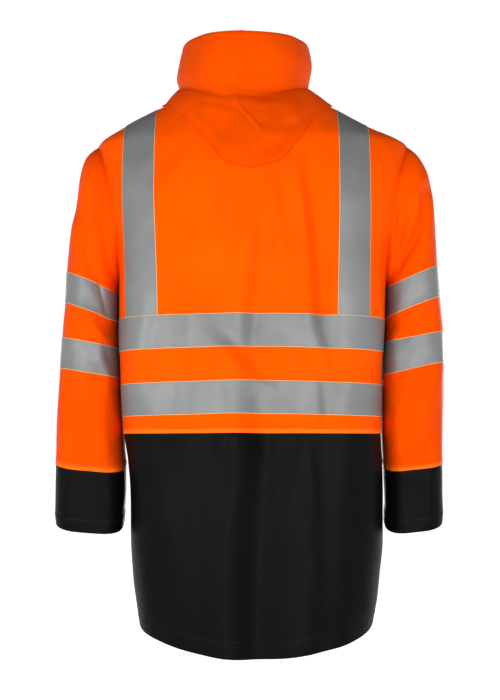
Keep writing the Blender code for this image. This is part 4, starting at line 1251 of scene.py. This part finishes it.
class JACKET_OT_body(bpy.types.Operator):
    """Back and fronts, in orange above the seam and black below it"""

    bl_idname = "jacket.body"
    bl_label = "Body panels"

    def execute(self, context):
        hem, lap = sized_edge("hem"), sized_edge("lap")
        sides = steps(SEAM_ROW, UNDERARM_ROW, 55, "a")
        upper = np.concatenate([sides, steps(UNDERARM_ROW, TOP_ROW, 66, "b")[1:]])
        lower = steps(0, SEAM_ROW, 64, "ab")
        edges = {"bottom": lap, "top": FELLED, "start": FELLED, "end": FELLED}
        panel("back_orange", body_grid(back_columns(), upper, 1), edges, "orange cloth", "back_upper")
        edges = {"bottom": hem, "top": TUCKED, "start": SEWN, "end": SEWN}
        grid = body_grid(back_columns(), lower, 1)
        panel("back_black", grid, edges, "black cloth", "back_lower", ("bottom",))
        for side, word in SIDES:
            columns = front_columns(side, "b")
            grid = body_grid(columns, upper, -1)
            edges = {"bottom": lap, "top": FELLED, "start": FELLED, "end": FACING}
            panel(f"front_{word}_orange", grid, edges, "orange cloth", f"front_{word}_upper", ("end",))
            grid = body_grid(columns, lower, -1)
            edges = {"bottom": hem, "top": TUCKED, "start": SEWN, "end": FACING}
            panel(f"front_{word}_black", grid, edges, "black cloth", f"front_{word}_lower", ("bottom", "end"))
        return {"FINISHED"}


class JACKET_OT_sleeves(bpy.types.Operator):
    """Sleeves, cuffs and their reflective bands"""

    bl_idname = "jacket.sleeves"
    bl_label = "Sleeves"

    def execute(self, context):
        turns = np.arange(SLEEVE_TURNS)
        for side, word in SIDES:
            grid = sleeve_grid(side, steps(0, CUFF_RING, 10 * CUFF_RING, "ab"), turns)
            edges = {"bottom": FELLED, "top": sized_edge("lap")}
            panel(f"sleeve_{word}_orange", grid, edges, "sleeve cloth", f"sleeve_{word}", closed=True)
            grid = sleeve_grid(side, steps(CUFF_RING, LAST_RING, 30, "ab"), turns)
            edges = {"bottom": TUCKED, "top": sized_edge("hem")}
            panel(f"cuff_{word}_black", grid, edges, "black cloth", f"cuff_{word}", ("top",), True)
            for number, (low, high) in enumerate(SLEEVE_TAPES, 1):
                grid = sleeve_grid(side, steps(low, high, BAND_ROWS, "ab"), turns)
                band(grid, f"tape_sleeve_{word}_{number}", [f"sleeve_{word}_orange"], True)
        return {"FINISHED"}


class JACKET_OT_bands(bpy.types.Operator):
    """Reflective bands round the body and over the shoulders"""

    bl_idname = "jacket.bands"
    bl_label = "Reflective bands"

    def execute(self, context):
        for height, (low, high) in (("chest", CHEST_TAPE), ("waist", WAIST_TAPE)):
            rows = steps(low, high, BAND_ROWS, "ab")
            band(body_grid(back_columns(), rows, 1), f"tape_{height}_back", ["back_orange"])
            for side, word in SIDES:
                grid = body_grid(front_columns(side), rows, -1)
                band(grid, f"tape_{height}_front_{word}", [f"front_{word}_orange"])
        upper = steps(UNDERARM_ROW, TOP_ROW, 72, "b")[1:]
        rows = np.concatenate([steps(CHEST_TAPE[1], UNDERARM_ROW, 12, "a"), upper])
        for side, word in SIDES:
            columns = side * steps(BRACE_OUTER, BRACE_INNER, BAND_ROWS, "ab")
            back_and_front = zip(body_grid(columns, rows, 1), body_grid(columns, rows, -1))
            grid = [np.concatenate([b, f[-2::-1]]).transpose(1, 0, 2) for b, f in back_and_front]
            band(grid, f"brace_{word}", ["back_orange", f"front_{word}_orange"])
        return {"FINISHED"}


class JACKET_OT_collar(bpy.types.Operator):
    """Standing collar"""

    bl_idname = "jacket.collar"
    bl_label = "Collar"

    def execute(self, context):
        front = steps(MIDDLE, NECK_COLUMN, 24, "a")[:-1]
        back = steps(NECK_COLUMN, MIDDLE, 24)
        parts = ((front, 1, -1), (back, 1, 1), (back[-2::-1], -1, 1), (front[::-1], -1, -1))
        around = np.concatenate([[(u, side, face) for u in part] for part, side, face in parts])
        w = steps(0, 1, 20, "ab")[:, None]
        u, side, face = (column + 0.0 * w for column in around.T)
        edges = {"bottom": SEWN, "top": Edge("hem", 7.0), "start": FACING, "end": FACING}
        grid = collar_surface(side, face, u, w + 0.0 * u)
        panel("collar_orange", grid, edges, "orange cloth", "collar", ("top", "start", "end"))
        return {"FINISHED"}


class JACKET_OT_hood(bpy.types.Operator):
    """The hood, turned down round the collar"""

    bl_idname = "jacket.hood"
    bl_label = "Hood"

    def execute(self, context):
        points = refine(refine(hood_points(), HOOD_FINE, 0), HOOD_FINE, 1)
        row = np.arange(len(points))[:, None] / HOOD_FINE
        outer = smooth((HOOD_OUTER_ROWS - 0.5 - row) / 1.5)
        x, y, z = np.moveaxis(points, -1, 0)
        lift = fold_height(x, z, HOOD_FOLDS) * smooth(y / 60) + 0.9 * ripple(x + 0.6 * y, z * 1.6, 21)
        points = points + grid_normals(points) * (outer * lift)[..., None]
        normals = grid_normals(points)
        middle = points.shape[1] // 2
        side_hem = Edge("hem", 7.0)
        halves = (
            ("left", slice(None, middle + 1), {"start": side_hem, "end": RIDGE}, "start"),
            ("right", slice(middle, None), {"start": RIDGE, "end": side_hem}, "end"),
        )
        for word, part, ends, free in halves:
            edges = {"bottom": Edge("hem", 9.0), "top": SEWN, **ends}
            grid = (points[:, part], normals[:, part])
            panel(f"hood_{word}_orange", grid, edges, "hood cloth", f"hood_{word}", ("bottom", free))
        return {"FINISHED"}


class JACKET_OT_zip(bpy.types.Operator):
    """Zip with its woven tapes, teeth, slider and pull"""

    bl_idname = "jacket.zip"
    bl_label = "Zip"

    def execute(self, context):
        stops = np.concatenate([steps(0, TOP_ROW, 160), TOP_ROW + steps(0, 0.97, 24)[1:]])
        tooth = small_shape("tooth_shape", TOOTH_SIZE, TOOTH_BEVEL, bmesh.ops.create_cube, size=1.0)
        for side, word in SIDES:
            name = f"zip_{word}_tape"
            points, normals = zip_base(side, *np.meshgrid(ZIP_TAPE_OFFS, stops))
            mesh = shell(name, points, normals, *ZIP_TAPE_SINK, False, ("start", "end"))
            add_sheet(name, mesh, "zip tape", f"zip_{word}")
            line, up = zip_base(side, np.full(len(stops), TOOTH_OFF), stops)
            rail = line - up * TOOTH_SINK
            if side < 0:
                rail = rail[1:] * 0.5 + rail[:-1] * 0.5
            pitch = context.scene.jacket_sizes.tooth
            repeated(f"zip_{word}_teeth", [rail], tooth, pitch, "zip teeth")
        bpy.data.objects.remove(tooth, do_unlink=True)
        for node in ("zip_slider", "zip_pull"):
            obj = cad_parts[node]
            obj.data.materials.clear()
            obj.data.materials.append(look("zip metal"))
        return {"FINISHED"}


class JACKET_OT_stitches(bpy.types.Operator):
    """Stitching beside the bands, the seams and the hems"""

    bl_idname = "jacket.stitches"
    bl_label = "Stitches"

    def execute(self, context):
        pitch = context.scene.jacket_sizes.stitch
        ball = {"u_segments": 6, "v_segments": 4, "radius": 1.0}
        stitch = small_shape("stitch_shape", STITCH_SIZE, 0.0, bmesh.ops.create_uvsphere, **ball)
        repeated("stitches_bands", self.band_lines(), stitch, pitch, "pale thread")
        repeated("stitches_orange", self.orange_lines(), stitch, pitch, "orange thread")
        repeated("stitches_black", self.black_lines(), stitch, pitch, "dark thread")
        bpy.data.objects.remove(stitch, do_unlink=True)
        return {"FINISHED"}

    def ring_line(self, row, height):
        """A level line round the body, broken at the zip."""
        parts = ((back_columns(), 1), (front_columns(1), -1), (front_columns(-1), -1))
        grids = [body_grid(columns, [row], face) for columns, face in parts]
        return [(points + up * height)[0] for points, up in grids]

    def sleeve_line(self, side, ring, height):
        points, up = sleeve_grid(side, [ring], np.arange(SLEEVE_TURNS + 1))
        return (points + up * height)[0]

    def band_lines(self):
        lines = []
        for low, high in (CHEST_TAPE, WAIST_TAPE):
            for row in (low + 0.05, high - 0.05):
                lines += self.ring_line(row, STITCH_ON_BAND)
        rows = steps(CHEST_TAPE[1] + 0.05, TOP_ROW, 80)
        for side, _ in SIDES:
            for low, high in SLEEVE_TAPES:
                lines += [self.sleeve_line(side, ring, STITCH_ON_BAND) for ring in (low + 0.05, high - 0.05)]
            for column in (BRACE_OUTER + 0.1, BRACE_INNER - 0.1):
                back, up = body_grid([side * column], rows, 1)
                front, front_up = body_grid([side * column], rows[::-1], -1)
                over = (back + up * STITCH_ON_BAND, (front + front_up * STITCH_ON_BAND)[1:])
                lines.append(np.concatenate(over)[:, 0])
        return lines

    def orange_lines(self):
        lap = sized_edge("lap").width + 0.8
        row = SEAM_ROW + lap / float(ROW.z(SEAM_ROW + 1) - ROW.z(SEAM_ROW))
        sleeves = [self.sleeve_line(side, CUFF_RING - 0.24, STITCH_ON_ORANGE) for side, _ in SIDES]
        return self.ring_line(row, STITCH_ON_ORANGE) + sleeves

    def black_lines(self):
        cuffs = [self.sleeve_line(side, LAST_RING - 0.74, STITCH_ON_BLACK) for side, _ in SIDES]
        return self.ring_line(0.6, STITCH_ON_BLACK) + cuffs


class JACKET_OT_stage(bpy.types.Operator):
    """Floor, light and camera"""

    bl_idname = "jacket.stage"
    bl_label = "Stage"

    def execute(self, context):
        self.floor(context.scene.jacket_colours.ground)
        self.studio(context.scene)
        self.camera(context.scene)
        context.scene.view_settings.view_transform = "Standard"
        return {"FINISHED"}

    def floor(self, ground):
        bpy.ops.mesh.primitive_circle_add(vertices=96, radius=200, fill_type="NGON", location=(0, 0, FLOOR_Z))
        floor = bpy.context.object
        floor.name = "floor"
        finish = Finish("pale floor", Emission_Strength=1.0)
        split = finish.node("ShaderNodeSeparateXYZ", None, {0: finish.place()})
        x, y = Shade(finish, split.outputs["X"]), Shade(finish, split.outputs["Y"])
        far = finish.ramp((x * x + y * y) ** 0.5, 1.6, 3.0)
        finish.feed("Base Color", finish.blend(far, rgba(ground, 0.8), rgba(ground)))
        finish.feed("Emission Color", finish.blend(far, rgba(ground, 0.28), rgba(ground)))
        floor.data.materials.append(finish.material)

    def studio(self, scene):
        """White surroundings, dimmer overhead, and the same lamps behind the jacket and before it."""
        world = bpy.data.worlds.new("studio")
        world.use_nodes = True
        add = world.node_tree.nodes.new
        place, split = add("ShaderNodeTexCoord"), add("ShaderNodeSeparateXYZ")
        height = add("ShaderNodeMapRange")
        back = world.node_tree.nodes["Background"]
        height.interpolation_type = "SMOOTHSTEP"
        for socket, value in (("From Min", 0.27), ("From Max", 0.42), ("To Min", 1.04), ("To Max", 0.12)):
            height.inputs[socket].default_value = value
        link = world.node_tree.links.new
        link(place.outputs["Generated"], split.inputs[0])
        link(split.outputs["Z"], height.inputs["Value"])
        link(height.outputs[0], back.inputs["Strength"])
        back.inputs["Color"].default_value = (1.0, 1.0, 1.0, 1.0)
        scene.world = world
        for where, turn in (("back", 1), ("front", -1)):
            for lamp in LAMPS:
                data = bpy.data.lights.new(f"{lamp.name}_{where}", "AREA")
                data.shape = "SQUARE"
                data.size = lamp.size
                data.energy = lamp.power
                obj = bpy.data.objects.new(data.name, data)
                obj.location = (lamp.x * turn, lamp.y * turn, lamp.z)
                obj.rotation_euler = (Vector(LAMP_AIM) - obj.location).to_track_quat("-Z", "Y").to_euler()
                obj.visible_camera = False
                scene.collection.objects.link(obj)

    def camera(self, scene):
        data = bpy.data.cameras.new("camera")
        data.lens = CAMERA_LENS
        data.sensor_width = 36
        camera = bpy.data.objects.new("camera", data)
        camera.location = CAMERA_PLACE
        camera.rotation_euler = (math.radians(CAMERA_TILT), 0, math.pi)
        scene.collection.objects.link(camera)
        scene.camera = camera


class JACKET_PT_panel(bpy.types.Panel):
    """Lists the jacket's sizes, colours and operators"""

    bl_label = "Hi-vis work jacket"
    bl_idname = "JACKET_PT_panel"
    bl_space_type = "VIEW_3D"
    bl_region_type = "UI"
    bl_category = "Jacket"

    def draw(self, context):
        for group in (context.scene.jacket_sizes, context.scene.jacket_colours):
            for name in group.__annotations__:
                self.layout.prop(group, name)
        for operator in OPERATORS:
            self.layout.operator(operator.bl_idname)


OPERATORS = (
    JACKET_OT_stage,
    JACKET_OT_body,
    JACKET_OT_sleeves,
    JACKET_OT_bands,
    JACKET_OT_collar,
    JACKET_OT_hood,
    JACKET_OT_zip,
    JACKET_OT_stitches,
)
CLASSES = (JacketSizes, JacketColours, *OPERATORS, JACKET_PT_panel)


def register():
    for kind in CLASSES:
        bpy.utils.register_class(kind)
    bpy.types.Scene.jacket_sizes = PointerProperty(type=JacketSizes)
    bpy.types.Scene.jacket_colours = PointerProperty(type=JacketColours)


def unregister():
    del bpy.types.Scene.jacket_colours
    del bpy.types.Scene.jacket_sizes
    for kind in reversed(CLASSES):
        bpy.utils.unregister_class(kind)


def main():
    for name in ("Cube", "Light", "Camera"):
        if name in bpy.data.objects:
            bpy.data.objects.remove(bpy.data.objects[name], do_unlink=True)
    register()
    for operator in OPERATORS:
        group, name = operator.bl_idname.split(".")
        getattr(getattr(bpy.ops, group), name)()


if __name__ == "__main__":
    main()
